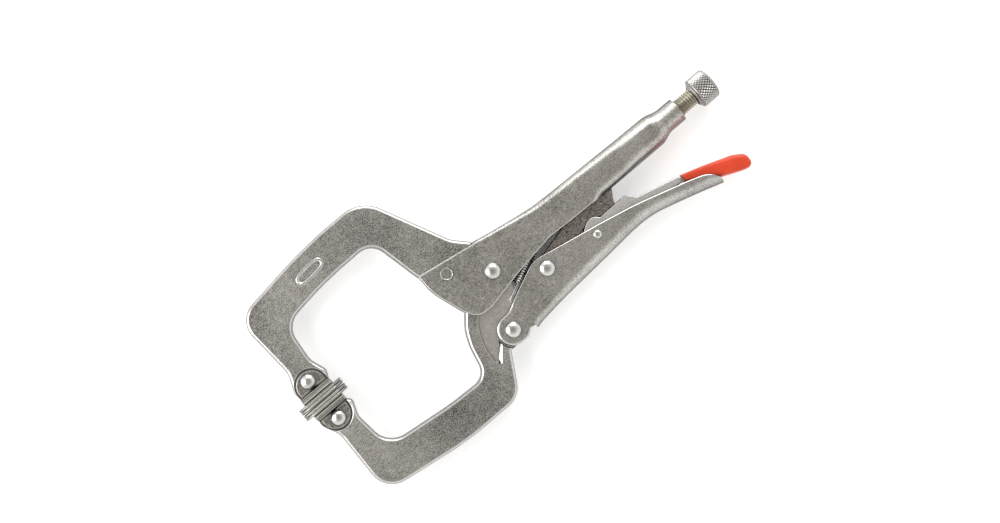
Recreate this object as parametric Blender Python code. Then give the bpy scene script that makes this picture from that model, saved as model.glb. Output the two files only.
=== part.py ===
"""Locking C-clamp pliers with swivel pads, closed and locked, lying flat.

Every size is in millimetres in the drawing plane and MM turns it into metres.
The drawing plane is seen from above: the main pivot is at (0, 0), +X runs along
the handles to the adjusting knob, +Y to the fixed jaw, and z = 0 is the middle
of the sheet metal.  FRAME_SHIFT moves the finished model so that the centre of
its lowest face becomes the world origin.
"""
import math

import bmesh
import bpy
from mathutils import Matrix, Vector

MM = 0.001
GAP = 0.3
ARC_STEP = math.radians(18.0)
CUTTER_REACH = 20.0
ENVELOPE_HALF = 12.0

# Pivots of the toggle linkage, in the drawing plane.
MAIN_PIVOT = (0.0, 0.0)
JAW_HANDLE_PIVOT = (-11.7, -30.3)
LINK_PIVOT = (22.8, -17.4)
RELEASE_PIVOT = (54.7, -21.0)
SCREW_AXIS_Y = 1.5
FIXED_JAW_PIN = (-19.3, 14.4)
SPRING_HOOK = (-2.8, -17.7)
SPRING_ANCHOR = (46.0, 5.2)

# Thickness of each layer, as half widths about z = 0.
JAW_HALF = 5.0
JAW_CHAMFER = 1.0
TANG_HALF = 2.8
TIP_HALF = 3.0
LINK_HALF = 2.7
LEVER_HALF = 4.5
LEVER_SHEET = 1.3
LEVER_TAIL_HALF = 1.5
GRIP_HALF = 4.5
UPPER_HALF = 7.3
LOWER_FRONT_HALF = 5.15
LOWER_HALF = 7.1
SHEET = 2.0

# Round parts.
RIVET_SHANK = 3.0
RIVET_HEAD = 4.5
RIVET_DOME = 3.0
LINK_RIVET_SEAT = 6.6
FIXED_PIN_RADIUS = 3.6
PIN_SHANK = 1.6
PIN_HEAD = 2.3
PIN_DOME = 1.3
PAD_RIVET_SHANK = 2.5
PAD_RIVET_HEAD = 4.2
HUB_RADIUS = 9.2
HUB_CLEARANCE = 10.5
NOSE_CLEARANCE = 9.7

# The plain raised oval on the fixed jaw.
BADGE_CENTRE = (-72.9, 61.8)
BADGE_HALF_LENGTH = 8.7
BADGE_HALF_WIDTH = 3.4
BADGE_TILT = math.radians(5.0)
BADGE_HEIGHT = 0.35

# Adjusting screw, along +X.
SCREW_TIP_X = 93.2
SCREW_PILOT_RADIUS = 3.6
SCREW_PILOT_LENGTH = 6.0
THREAD_RADIUS = 5.05
THREAD_DEPTH = 0.65
THREAD_PITCH = 1.5
THREAD_START_X = 116.0
TUBE_END_X = 131.0
TUBE_WALL = 1.45
TUBE_RADIUS = 6.85
KNOB_START_X = 142.0
KNOB_END_X = 154.5
KNOB_RADIUS = 8.7
KNOB_NOSE_RADIUS = 5.5
KNOB_NOSE_LENGTH = 2.9
KNOB_CORNER = 2.0
SPINDLE_RADIUS = 3.2
KNOB_POCKET_LENGTH = 2.0
PILOT_TIP_RADIUS = 1.8

# Swivel pads: height is counted from the gripping face towards the jaw.
PAD_X = -110.6
PAD_RADIUS = 13.9
PAD_FLAT_HALF = 11.0
PAD_DISC_HEIGHT = 3.3
PAD_RIVET_HEIGHT = 12.0
UPPER_PAD_FACE_Y = 6.5
LOWER_PAD_FACE_Y = 6.1
EAR_RADIUS = 8.0
EAR_CENTRE_HEIGHT = 9.3
EAR_INNER = 3.3
EAR_OUTER = 5.2
EAR_CHORD_HEIGHT = 7.5
EAR_CHORD_HALF = 7.6
WALL_HALF_WIDTH = 9.4
JAW_TIP_RECESS_RADIUS = 8.9

# Sections of the pad's ribbed wall and of the neck that carries the ear, as (height, z).
PAD_WALL_OUTLINE = [
    (2.5, 5.5), (2.5, 9.3), (4.0, 9.3), (4.3, 9.6), (4.9, 9.6), (5.2, 9.0), (6.2, 8.8),
    (6.9, 8.2), (6.9, 5.5),
]
PAD_NECK_OUTLINE = [
    (6.0, 5.5), (6.0, 8.3), (6.9, 8.0), (8.0, EAR_OUTER), (8.0, EAR_INNER), (7.2, EAR_INNER),
]

# Extreme sizes that set where the world origin lies.
FIXED_JAW_BACK_Y = 73.85
MOVING_JAW_BACK_Y = -59.55
FRAME_SHIFT = (
    -(KNOB_END_X + PAD_X - PAD_RADIUS) / 2.0,
    -(FIXED_JAW_BACK_Y + MOVING_JAW_BACK_Y) / 2.0,
    PAD_FLAT_HALF,
)

# Outlines: each corner is (x, y, fillet radius), joined by straight edges.
FIXED_JAW_OUTLINE = [
    (-119.9, 13.2, 1.5), (-101.2, 13.2, 1.5), (-99.3, 17.6, 3), (-102.5, 26.5, 12),
    (-100.2, 48.3, 11.5), (-74.8, 51.8, 80), (-59.9, 52.6, 60), (-38.8, 52.8, 10),
    (-32.6, 24.6, 20), (-31.0, 19.6, 10), (-30.3, 10.1, 20), (-27.1, 0.6, 10),
    (-25.6, -2.6, 1.1), (-22.0, -1.9, 1.1), (-2.9, HUB_CLEARANCE, HUB_CLEARANCE),
    (1.4, HUB_CLEARANCE, 1.1), (1.4, 19.1, 1.1), (-6.1, 26.9, 12), (-28.5, 73.85, 19),
    (-56.9, 73.85, 60), (-74.8, 72.7, 120), (-118.1, 66.7, 12.5), (-115.9, 28.4, 14),
    (-120.2, 18.2, 5),
]
MOVING_JAW_OUTLINE = [
    (-120.0, -0.8, 1.5), (-120.0, -3.9, 5), (-115.9, -13.4, 10), (-117.2, -52.0, 13.5),
    (-73.8, -58.5, 80), (-59.9, -59.5, 60), (-31.7, -59.6, 13), (-19.2, -38.1, 1.5),
    (-4.6, -37.6, 7.0), (-4.5, -26.5, 5), (2.3, -14.0, 8),
    (HUB_RADIUS, -1.5, 6), (HUB_RADIUS, HUB_RADIUS, HUB_RADIUS), (-2.6, HUB_RADIUS, 8.0),
    (-21.9, -3.4, 6), (-30.9, -13.9, 25), (-34.7, -22.4, 25), (-38.6, -39.7, 8.5),
    (-61.9, -38.7, 100), (-100.1, -34.0, 12.5), (-102.3, -11.9, 10), (-98.9, -3.5, 2.5),
    (-101.2, -0.8, 1.5),
]
TANG_RECESS_OUTLINE = [
    (-15.4, -7.9, 0), (-29.9, -23.2, 34), (-28.4, -39.4, 0.9), (-17.4, -26.5, 0),
    (-11.7, -30.3, 0), (14.0, -30.3, 0), (14.0, -7.9, 0),
]
UPPER_HANDLE_PROFILE = [
    (-31.5, 23.1, 1), (-31.5, 14.7, 4), (-30.8, 9.6, 20), (-25.4, -6.4, 12),
    (-21.0, -13.8, 8), (-12.1, -14.1, 6), (10.0, -9.4, 60), (34.8, -5.8, 8),
    (50.5, -6.6, 40), (62.7, -6.75, 0), (62.7, -30.0, 0), (150.0, -30.0, 0),
    (150.0, 40.0, 0), (1.9, 40.0, 0), (1.9, 17.45, 0),
]
LOWER_HANDLE_PROFILE = [
    (-20.0, -38.6, 8.3), (-20.0, -22.0, 8.3), (-8.0, -22.0, 10), (0.6, -17.7, 40),
    (19.7, -9.3, 14), (35.3, -12.6, 100), (58.7, -17.1, 80), (81.0, -22.1, 100),
    (109.6, -30.5, 60), (120.8, -34.4, 12), (124.8, -41.0, 4), (124.5, -43.7, 1.2),
    (110.0, -60.0, 0), (-0.4, -60.0, 0), (-0.4, -36.0, 0), (-3.9, -36.0, 1), (-7.4, -38.6, 4),
]
LINK_OUTLINE = [
    (16.3, -24.2, 6.8), (16.3, -10.6, 6.8), (27.0, -10.6, 12), (84.5, 4.7, 3.2),
    (89.7, 4.0, 3.2), (89.7, -1.9, 3.0), (79.5, -3.5, 6), (73.6, -12.5, 8), (72.0, -17.6, 1.5),
    (65.5, -17.6, 2), (60.0, -13.3, 5), (50.5, -14.3, 6), (30.0, -24.2, 9),
]
LEVER_OUTLINE = [
    (50.6, -15.1, 1), (57.6, -10.4, 5.5), (61.8, -15.1, 0.6), (80.0, -14.9, 0.8),
    (83.6, -19.6, 2), (107.3, -25.6, 0), (107.3, -29.4, 0), (84.0, -26.3, 20),
    (60.0, -26.4, 3), (50.0, -25.6, 4),
]
LEVER_TROUGH_OUTLINE = [(40.0, -23.9), (84.0, -24.2), (106.0, -28.0), (112.0, -10.0), (40.0, -5.0)]
LEVER_TAIL_OUTLINE = [
    (106.8, -26.2, 0), (121.8, -32.3, 20), (138.0, -38.5, 3), (139.2, -43.0, 3),
    (124.5, -36.6, 8), (106.8, -29.2, 0),
]
GRIP_OUTLINE = [
    (109.4, -25.6, 0.8), (121.8, -29.9, 40), (137.0, -35.4, 12), (143.6, -39.5, 5),
    (143.2, -47.6, 3.2), (137.0, -46.0, 20), (125.5, -41.0, 6), (120.0, -37.0, 10),
    (109.4, -30.2, 0.8),
]
GRIP_POCKET_OUTLINE = [
    (106.0, -25.6), (121.8, -31.9), (138.3, -38.0), (139.8, -43.9), (124.5, -37.2),
    (106.0, -29.8),
]
GRIP_ROUNDING = 1.9

# Upper handle stations: x, top y, bottom y, half width, top bend radius,
# bottom bend radius, how far the lower edge curls in (degrees), wall.
UPPER_HANDLE_STATIONS = [
    (-36.0, 24.8, -20.0, UPPER_HALF, 2.2, 2.5, 0, SHEET),
    (1.7, 18.5, -20.0, UPPER_HALF, 2.2, 2.5, 0, SHEET),
    (10.7, 16.7, -16.0, UPPER_HALF, 2.3, 2.5, 0, SHEET),
    (20.7, 15.0, -13.0, UPPER_HALF, 2.5, 2.5, 0, SHEET),
    (30.8, 13.4, -10.0, UPPER_HALF, 3.0, 2.5, 0, SHEET),
    (40.8, 12.2, -8.0, UPPER_HALF, 3.6, 2.5, 0, SHEET),
    (62.7, 11.5, -6.8, 7.4, 4.0, 5.0, 8, SHEET),
    (67.0, 11.4, -7.2, 7.5, 4.2, 5.6, 42, SHEET),
    (71.3, 11.3, -7.4, 7.6, 4.4, 6.0, 72, SHEET),
    (86.0, 10.9, -7.5, 7.6, 5.0, 6.0, 72, SHEET),
    (97.0, 10.6, -7.55, 7.7, 6.0, 6.9, 84, SHEET),
    (112.9, 10.4, -7.6, 7.8, 7.0, 7.2, 86, SHEET),
    (116.6, 9.7, -6.8, 7.4, 6.9, 6.9, 86, 1.7),
    (119.6, 8.8, -5.6, 6.95, 6.85, 6.85, 86, TUBE_WALL),
    (122.0, SCREW_AXIS_Y + TUBE_RADIUS, SCREW_AXIS_Y - TUBE_RADIUS, TUBE_RADIUS,
     TUBE_RADIUS, TUBE_RADIUS, 86, TUBE_WALL),
    (TUBE_END_X, SCREW_AXIS_Y + TUBE_RADIUS, SCREW_AXIS_Y - TUBE_RADIUS, TUBE_RADIUS,
     TUBE_RADIUS, TUBE_RADIUS, 86, TUBE_WALL),
]

# Lower handle stations: x, back y, half width, back bend radius.
LOWER_HANDLE_STATIONS = [
    (-24.0, -50.0, LOWER_FRONT_HALF, 2.3), (-1.2, -50.0, LOWER_FRONT_HALF, 2.3),
    (-0.6, -38.3, LOWER_FRONT_HALF, 4.9),
    (11.0, -36.5, 5.3, 5.1), (21.0, -35.5, 5.9, 5.7), (31.1, -34.8, 6.5, 6.3),
    (41.1, -34.2, 6.9, 6.7),
]
LOWER_HANDLE_STATIONS += [
    (x, back, LOWER_HALF, LOWER_HALF - 0.2) for x, back in (
        (51.2, -33.6), (61.3, -32.9), (71.4, -32.2), (77.9, -32.1), (85.8, -32.9),
        (94.6, -35.0), (101.7, -37.0), (111.9, -40.0), (126.0, -44.5))
]
LOWER_HANDLE_TOP_Y = -4.0

# Spring: a close-wound coil with a hook at each end.
SPRING_WIRE_RADIUS = 0.55
SPRING_COIL_RADIUS = 2.3
SPRING_TURNS = 16
SPRING_JAW_REACH = 10.0
SPRING_ANCHOR_REACH = 6.0
SPRING_HOOK_HALF = 3.6
SPRING_HOOK_RUN = 4.0
SPRING_ANCHOR_HALF = 1.8
SPRING_HOLE_RADIUS = 1.2
SPRING_TAB_HALF = 1.0


def clear_scene():
    for scene_object in list(bpy.data.objects):
        bpy.data.objects.remove(scene_object, do_unlink=True)


def metal(name, colour, roughness, metallic):
    material = bpy.data.materials.new(name)
    material.use_nodes = True
    shader = material.node_tree.nodes["Principled BSDF"]
    shader.inputs["Base Color"].default_value = (*colour, 1.0)
    shader.inputs["Roughness"].default_value = roughness
    shader.inputs["Metallic"].default_value = metallic
    return material


def arc(centre, radius, start, end, steps):
    points = []
    for step in range(steps + 1):
        angle = start + (end - start) * step / steps
        x = centre[0] + radius * math.cos(angle)
        y = centre[1] + radius * math.sin(angle)
        points.append((x, y))
    return points


def filleted(corners):
    """Round each corner of a closed outline with its own radius, as far as its edges have room."""
    places = [Vector(corner[:2]) for corner in corners]
    count = len(corners)
    turns = []
    wanted = []
    for index, here in enumerate(places):
        towards = (places[index - 1] - here).normalized()
        onwards = (places[(index + 1) % count] - here).normalized()
        turn = math.pi - towards.angle(onwards)
        turns.append(turn)
        wanted.append(corners[index][2] * math.tan(turn / 2.0))
    points = []
    for index, here in enumerate(places):
        reach = wanted[index]
        for neighbour in (index - 1, (index + 1) % count):
            length = (places[neighbour] - here).length
            asked = wanted[index] + wanted[neighbour]
            if asked > length:
                reach = min(reach, length * wanted[index] / asked)
        if reach < 1e-3:
            points.append(tuple(here))
            continue
        half_turn = turns[index] / 2.0
        radius = reach / math.tan(half_turn)
        towards = (places[index - 1] - here).normalized()
        onwards = (places[(index + 1) % count] - here).normalized()
        centre = here + (towards + onwards).normalized() * (radius / math.cos(half_turn))
        first = here + towards * reach - centre
        last = here + onwards * reach - centre
        start = math.atan2(first.y, first.x)
        sweep = math.atan2(first.x * last.y - first.y * last.x, first.dot(last))
        steps = max(1, math.ceil(abs(sweep) / ARC_STEP))
        points.extend(arc(centre, radius, start, start + sweep, steps))
    return points


def circle(centre, radius, steps=24):
    return arc(centre, radius, 0.0, 2.0 * math.pi, steps)[:-1]


def make_object(name, bm, pivot=(0.0, 0.0), material=None):
    """Turn millimetre geometry into an object whose origin is on its pivot."""
    bmesh.ops.recalc_face_normals(bm, faces=bm.faces)
    offset = Vector((pivot[0], pivot[1], 0.0))
    for vertex in bm.verts:
        vertex.co = (vertex.co - offset) * MM
    mesh = bpy.data.meshes.new(name)
    bm.to_mesh(mesh)
    bm.free()
    model = bpy.data.objects.new(name, mesh)
    bpy.context.scene.collection.objects.link(model)
    model.location = (Vector(FRAME_SHIFT) + offset) * MM
    if material is not None:
        mesh.materials.append(material)
    return model


def prism(outline, low, high, axis="Z"):
    """Extrude a closed outline along an axis.  On Y the outline is (x, z)."""
    bm = bmesh.new()
    rings = []
    for level in (low, high):
        if axis == "Z":
            rings.append([bm.verts.new((x, y, level)) for x, y in outline])
        else:
            rings.append([bm.verts.new((x, level, z)) for x, z in outline])
    bm.faces.new(rings[0])
    bm.faces.new(rings[1])
    count = len(outline)
    for index in range(count):
        following = (index + 1) % count
        bm.faces.new((rings[0][index], rings[0][following], rings[1][following], rings[1][index]))
    return bm


def inset(outline, distance):
    """Move every side of a closed outline inwards."""
    count = len(outline)
    area = 0.0
    for index in range(count):
        x, y = outline[index]
        next_x, next_y = outline[(index + 1) % count]
        area += x * next_y - next_x * y
    facing = 1.0 if area > 0.0 else -1.0
    moved = []
    for index in range(count):
        here = Vector(outline[index])
        incoming = (here - Vector(outline[index - 1])).normalized()
        outgoing = (Vector(outline[(index + 1) % count]) - here).normalized()
        mitre = (incoming + outgoing).normalized()
        stretch = distance / max(mitre.dot(outgoing), 0.3)
        moved.append((here.x - facing * mitre.y * stretch, here.y + facing * mitre.x * stretch))
    return moved


def chamfered_prism(outline, half, chamfer):
    """Extrude a closed outline to z = +half and -half, with chamfered rims."""
    bm = bmesh.new()
    small = inset(outline, chamfer)
    levels = [(-half, small), (chamfer - half, outline), (half - chamfer, outline), (half, small)]
    rings = [[bm.verts.new((x, y, level)) for x, y in places] for level, places in levels]
    count = len(outline)
    for lower, upper in zip(rings, rings[1:]):
        for index in range(count):
            following = (index + 1) % count
            bm.faces.new((lower[index], lower[following], upper[following], upper[index]))
    bm.faces.new(rings[0])
    bm.faces.new(rings[-1])
    return bm


def lathe(profile, segments, axis, centre=(0.0, 0.0, 0.0)):
    """Turn (position along the axis, radius) points into a closed solid."""
    bm = bmesh.new()
    rings = []
    for along, radius in profile:
        if radius < 1e-6:
            rings.append([bm.verts.new(axis_point(axis, centre, along, 0.0, 0.0))])
            continue
        ring = []
        for step in range(segments):
            angle = 2.0 * math.pi * step / segments
            across = radius * math.cos(angle)
            up = radius * math.sin(angle)
            ring.append(bm.verts.new(axis_point(axis, centre, along, across, up)))
        rings.append(ring)
    for near, far in zip(rings, rings[1:]):
        for step in range(segments):
            following = (step + 1) % segments
            if len(near) == 1:
                bm.faces.new((near[0], far[step], far[following]))
            elif len(far) == 1:
                bm.faces.new((near[step], near[following], far[0]))
            else:
                bm.faces.new((near[step], near[following], far[following], far[step]))
    for ring in (rings[0], rings[-1]):
        if len(ring) > 1:
            bm.faces.new(ring)
    return bm


def axis_point(axis, centre, along, across, up):
    if axis == "X":
        return (centre[0] + along, centre[1] + across, centre[2] + up)
    return (centre[0] + across, centre[1] + up, centre[2] + along)


def combine(target, tool, operation):
    """Apply one Boolean to the target and remove the tool."""
    modifier = target.modifiers.new(operation.title(), "BOOLEAN")
    modifier.operation = operation
    modifier.solver = "EXACT"
    modifier.object = tool
    graph = bpy.context.evaluated_depsgraph_get()
    baked = bpy.data.meshes.new_from_object(target.evaluated_get(graph))
    target.modifiers.remove(modifier)
    materials = list(target.data.materials)
    target.data = baked
    target.data.materials.clear()
    for material in materials:
        target.data.materials.append(material)
    bpy.data.objects.remove(tool, do_unlink=True)


def cut(target, bm):
    combine(target, make_object("cutter", bm), "DIFFERENCE")


def join(target, bm):
    combine(target, make_object("addition", bm), "UNION")


def keep_inside(target, bm):
    combine(target, make_object("envelope", bm), "INTERSECT")


def drill(target, centre, radius):
    cut(target, prism(circle(centre, radius), -CUTTER_REACH, CUTTER_REACH))


def round_edges(model, width, segments):
    """Bevel every edge sharper than 40 degrees and keep the result."""
    modifier = model.modifiers.new("Bevel", "BEVEL")
    modifier.width = width * MM
    modifier.segments = segments
    modifier.limit_method = "ANGLE"
    modifier.angle_limit = math.radians(40.0)
    graph = bpy.context.evaluated_depsgraph_get()
    baked = bpy.data.meshes.new_from_object(model.evaluated_get(graph))
    model.modifiers.remove(modifier)
    model.data = baked


def smooth(model):
    model.data.shade_smooth()
    model.data.set_sharp_from_angle(angle=math.radians(32.0))


def rivet(name, centre, seat, shank, head, dome, material):
    """A domed rivet along Z whose heads sit on faces at z = +seat and -seat."""
    half = [(seat, shank), (seat, head)]
    for step in range(1, 5):
        angle = math.pi / 2.0 * step / 4.0
        half.append((seat + dome * math.sin(angle), head * math.cos(angle)))
    half[-1] = (seat + dome, 0.0)
    profile = [(-z, radius) for z, radius in reversed(half)] + half
    model = make_object(
        name, lathe(profile, 24, "Z", (centre[0], centre[1], 0.0)), centre, material)
    smooth(model)
    return model


def bend_section(top, bottom, half_width, top_radius, bottom_radius, curl, inset):
    """Half of a folded sheet's section, from the top middle to its lower edge, as (y, z)."""
    upper = max(top_radius - inset, 0.15)
    lower = max(bottom_radius - inset, 0.15)
    curl = math.radians(max(curl, 0.5))
    points = [(top - inset, 0.0)]
    points += [
        (y, z) for z, y in arc(
            (half_width - top_radius, top - top_radius), upper, math.pi / 2.0, 0.0, 5)
    ]
    drop = bottom_radius * math.sin(curl)
    points += [
        (y, z) for z, y in arc(
            (half_width - bottom_radius, bottom + drop), lower, 0.0, -curl, 5)
    ]
    return points


def folded_channel(stations, section):
    """Loft a folded sheet through stations, each giving an outer and an inner half section."""
    bm = bmesh.new()
    loops = []
    for station in stations:
        outer, inner = section(station)
        mirrored_outer = [(y, -z) for y, z in reversed(outer[1:])]
        mirrored_inner = [(y, -z) for y, z in reversed(inner[1:])]
        loop = mirrored_outer + outer
        back = mirrored_inner + inner
        ring = loop + list(reversed(back))
        loops.append([bm.verts.new((station[0], y, z)) for y, z in ring])
    count = len(loops[0])
    half = count // 2
    for near, far in zip(loops, loops[1:]):
        for index in range(count):
            following = (index + 1) % count
            bm.faces.new((near[index], near[following], far[following], far[index]))
    for ring in (loops[0], loops[-1]):
        for index in range(half - 1):
            bm.faces.new((
                ring[index], ring[index + 1],
                ring[count - 2 - index], ring[count - 1 - index]))
    return bm


def upper_handle(material):
    def section(station):
        _, top, bottom, half_width, top_radius, bottom_radius, curl, wall = station
        outer = bend_section(top, bottom, half_width, top_radius, bottom_radius, curl, 0.0)
        inner = bend_section(top, bottom, half_width, top_radius, bottom_radius, curl, wall)
        return outer, inner

    handle = make_object(
        "upper_handle", folded_channel(UPPER_HANDLE_STATIONS, section), MAIN_PIVOT, material)
    keep_inside(handle, prism(filleted(UPPER_HANDLE_PROFILE), -ENVELOPE_HALF, ENVELOPE_HALF))
    slot_half = UPPER_HALF - SHEET + 0.05
    nose_opening = [(-40.0, 10.0), (1.9, 10.0), (1.9, 30.0), (-40.0, 30.0)]
    cut(handle, prism(nose_opening, -slot_half, slot_half))
    drill(handle, MAIN_PIVOT, RIVET_SHANK + GAP)
    drill(handle, FIXED_JAW_PIN, FIXED_PIN_RADIUS + GAP)
    join(handle, spring_tab())
    smooth(handle)
    return handle


def spring_tab():
    """A small lug inside the channel, hanging from the web, with a notch for the spring hook."""
    x, y = SPRING_ANCHOR
    outline = [
        (x - 0.5, 11.0), (x + 4.0, 11.0), (x + 4.0, y - 2.2), (x + 1.0, y - 2.2),
        (x + 1.0, y + 0.9), (x - 0.5, y + 0.9),
    ]
    return prism(outline, -SPRING_TAB_HALF, SPRING_TAB_HALF)


def fixed_jaw(material):
    blank = chamfered_prism(filleted(FIXED_JAW_OUTLINE), JAW_HALF, JAW_CHAMFER)
    jaw = make_object("fixed_jaw", blank, MAIN_PIVOT, material)
    recess_centre = (PAD_X, UPPER_PAD_FACE_Y + EAR_CENTRE_HEIGHT)
    for side in (-1.0, 1.0):
        sink(jaw, circle(recess_centre, JAW_TIP_RECESS_RADIUS, 36), TIP_HALF, side)
    drill(jaw, (PAD_X, UPPER_PAD_FACE_Y + PAD_RIVET_HEIGHT), PAD_RIVET_SHANK + GAP)
    drill(jaw, FIXED_JAW_PIN, FIXED_PIN_RADIUS + GAP)
    join(jaw, badge())
    return jaw


def badge():
    """A plain raised oval on the upper face of the fixed jaw."""
    outline = []
    for x, y in circle((0.0, 0.0), 1.0, 28):
        along = BADGE_HALF_LENGTH * x
        across = BADGE_HALF_WIDTH * y
        outline.append((
            BADGE_CENTRE[0] + along * math.cos(BADGE_TILT) - across * math.sin(BADGE_TILT),
            BADGE_CENTRE[1] + along * math.sin(BADGE_TILT) + across * math.cos(BADGE_TILT)))
    return prism(outline, JAW_HALF - 1.0, JAW_HALF + BADGE_HEIGHT)


def sink(jaw, outline, remaining, side):
    """Sink a flat of the given outline into one face so that a neighbour can lie in it."""
    near = side * remaining
    far = side * (JAW_HALF + 2.0)
    cut(jaw, prism(outline, min(near, far), max(near, far)))


def moving_jaw(material):
    blank = chamfered_prism(filleted(MOVING_JAW_OUTLINE), JAW_HALF, JAW_CHAMFER)
    jaw = make_object("moving_jaw", blank, MAIN_PIVOT, material)
    recess_centre = (PAD_X, LOWER_PAD_FACE_Y - EAR_CENTRE_HEIGHT)
    for side in (-1.0, 1.0):
        sink(jaw, filleted(TANG_RECESS_OUTLINE), TANG_HALF, side)
        sink(jaw, circle(JAW_HANDLE_PIVOT, NOSE_CLEARANCE, 36), TANG_HALF, side)
        sink(jaw, circle(recess_centre, JAW_TIP_RECESS_RADIUS, 36), TIP_HALF, side)
    drill(jaw, MAIN_PIVOT, RIVET_SHANK + GAP)
    drill(jaw, JAW_HANDLE_PIVOT, RIVET_SHANK + GAP)
    drill(jaw, (PAD_X, LOWER_PAD_FACE_Y - PAD_RIVET_HEIGHT), PAD_RIVET_SHANK + GAP)
    drill(jaw, SPRING_HOOK, SPRING_HOLE_RADIUS)
    return jaw


def lower_handle(material):
    def section(station):
        _, back, half_width, radius = station
        outer = bend_section(-back, -LOWER_HANDLE_TOP_Y, half_width, radius, 1.0, 0, 0.0)
        inner = bend_section(-back, -LOWER_HANDLE_TOP_Y, half_width, radius, 1.0, 0, SHEET)
        return [(-y, z) for y, z in outer], [(-y, z) for y, z in inner]

    handle = make_object(
        "lower_handle", folded_channel(LOWER_HANDLE_STATIONS, section),
        JAW_HANDLE_PIVOT, material)
    keep_inside(handle, prism(filleted(LOWER_HANDLE_PROFILE), -ENVELOPE_HALF, ENVELOPE_HALF))
    drill(handle, JAW_HANDLE_PIVOT, RIVET_SHANK + GAP)
    drill(handle, LINK_PIVOT, RIVET_SHANK + GAP)
    drill(handle, RELEASE_PIVOT, PIN_SHANK + GAP)
    smooth(handle)
    return handle


def toggle_link(material):
    link = make_object(
        "toggle_link", prism(filleted(LINK_OUTLINE), -LINK_HALF, LINK_HALF),
        LINK_PIVOT, material)
    drill(link, LINK_PIVOT, RIVET_SHANK + GAP)
    return link


def release_lever(material):
    """A folded lever: open towards the link in front, one flat tongue behind."""
    lever = make_object(
        "release_lever", prism(filleted(LEVER_OUTLINE), -LEVER_HALF, LEVER_HALF),
        RELEASE_PIVOT, material)
    inside = LEVER_HALF - LEVER_SHEET
    cut(lever, prism(LEVER_TROUGH_OUTLINE, -inside, inside))
    join(lever, prism(filleted(LEVER_TAIL_OUTLINE), -LEVER_TAIL_HALF, LEVER_TAIL_HALF))
    drill(lever, RELEASE_PIVOT, PIN_SHANK + GAP)
    return lever


def release_lever_grip(material):
    grip = make_object(
        "release_lever_grip", prism(filleted(GRIP_OUTLINE), -GRIP_HALF, GRIP_HALF),
        RELEASE_PIVOT, material)
    round_edges(grip, GRIP_ROUNDING, 2)
    tail = LEVER_TAIL_HALF + GAP
    cut(grip, prism(GRIP_POCKET_OUTLINE, -tail, tail))
    return grip


def screw_pilot(material):
    end = SCREW_TIP_X + SCREW_PILOT_LENGTH
    profile = [
        (SCREW_TIP_X, 0.0), (SCREW_TIP_X, PILOT_TIP_RADIUS),
        (SCREW_TIP_X + PILOT_TIP_RADIUS, SCREW_PILOT_RADIUS),
        (end - GAP, SCREW_PILOT_RADIUS), (end - GAP, 0.0),
    ]
    pilot = make_object(
        "screw_pilot", lathe(profile, 20, "X", (0.0, SCREW_AXIS_Y, 0.0)),
        (SCREW_TIP_X, SCREW_AXIS_Y), material)
    smooth(pilot)
    return pilot


def adjusting_screw(material):
    root_radius = THREAD_RADIUS - THREAD_DEPTH
    profile = [
        (SCREW_TIP_X + SCREW_PILOT_LENGTH, 0.0),
        (SCREW_TIP_X + SCREW_PILOT_LENGTH, root_radius),
        (THREAD_START_X, root_radius),
    ]
    crest = THREAD_START_X + THREAD_PITCH / 2.0
    while crest < KNOB_START_X + 0.5:
        profile.append((crest, THREAD_RADIUS))
        profile.append((crest + THREAD_PITCH / 2.0, root_radius))
        crest += THREAD_PITCH
    profile += [
        (crest - THREAD_PITCH / 2.0, SPINDLE_RADIUS),
        (KNOB_END_X - 0.6, SPINDLE_RADIUS),
        (KNOB_END_X - 0.6, 0.0),
    ]
    screw = make_object(
        "adjusting_screw", lathe(profile, 18, "X", (0.0, SCREW_AXIS_Y, 0.0)),
        (SCREW_TIP_X, SCREW_AXIS_Y), material)
    smooth(screw)
    return screw


def screw_knob(material):
    """The knurled knob, pressed on the screw's plain spindle, hollow in front for the thread."""
    start = KNOB_START_X
    shoulder = start + KNOB_NOSE_LENGTH
    pocket_end = start + KNOB_POCKET_LENGTH
    bore = SPINDLE_RADIUS + GAP
    thread_bore = THREAD_RADIUS + GAP
    corner = [
        (KNOB_END_X - KNOB_CORNER + KNOB_CORNER * math.sin(angle),
         KNOB_RADIUS - KNOB_CORNER + KNOB_CORNER * math.cos(angle))
        for angle in (0.0, math.pi / 6.0, math.pi / 3.0, math.pi / 2.0)
    ]
    profile = [(start, thread_bore), (start, KNOB_NOSE_RADIUS), (shoulder, KNOB_RADIUS)]
    profile += corner
    profile += [(KNOB_END_X, bore), (pocket_end, bore), (pocket_end, thread_bore)]
    bm = ring_lathe(profile, 32, SCREW_AXIS_Y)
    knob = make_object("screw_knob", bm, (SCREW_TIP_X, SCREW_AXIS_Y), material)
    smooth(knob)
    return knob


def ring_lathe(profile, segments, axis_y):
    """Turn a closed (x, radius) outline about the screw's axis."""
    bm = bmesh.new()
    rings = []
    for step in range(segments):
        angle = 2.0 * math.pi * step / segments
        rings.append([
            bm.verts.new((x, axis_y + radius * math.cos(angle), radius * math.sin(angle)))
            for x, radius in profile
        ])
    count = len(profile)
    for step in range(segments):
        near = rings[step]
        far = rings[(step + 1) % segments]
        for index in range(count):
            following = (index + 1) % count
            bm.faces.new((near[index], near[following], far[following], far[index]))
    return bm


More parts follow.
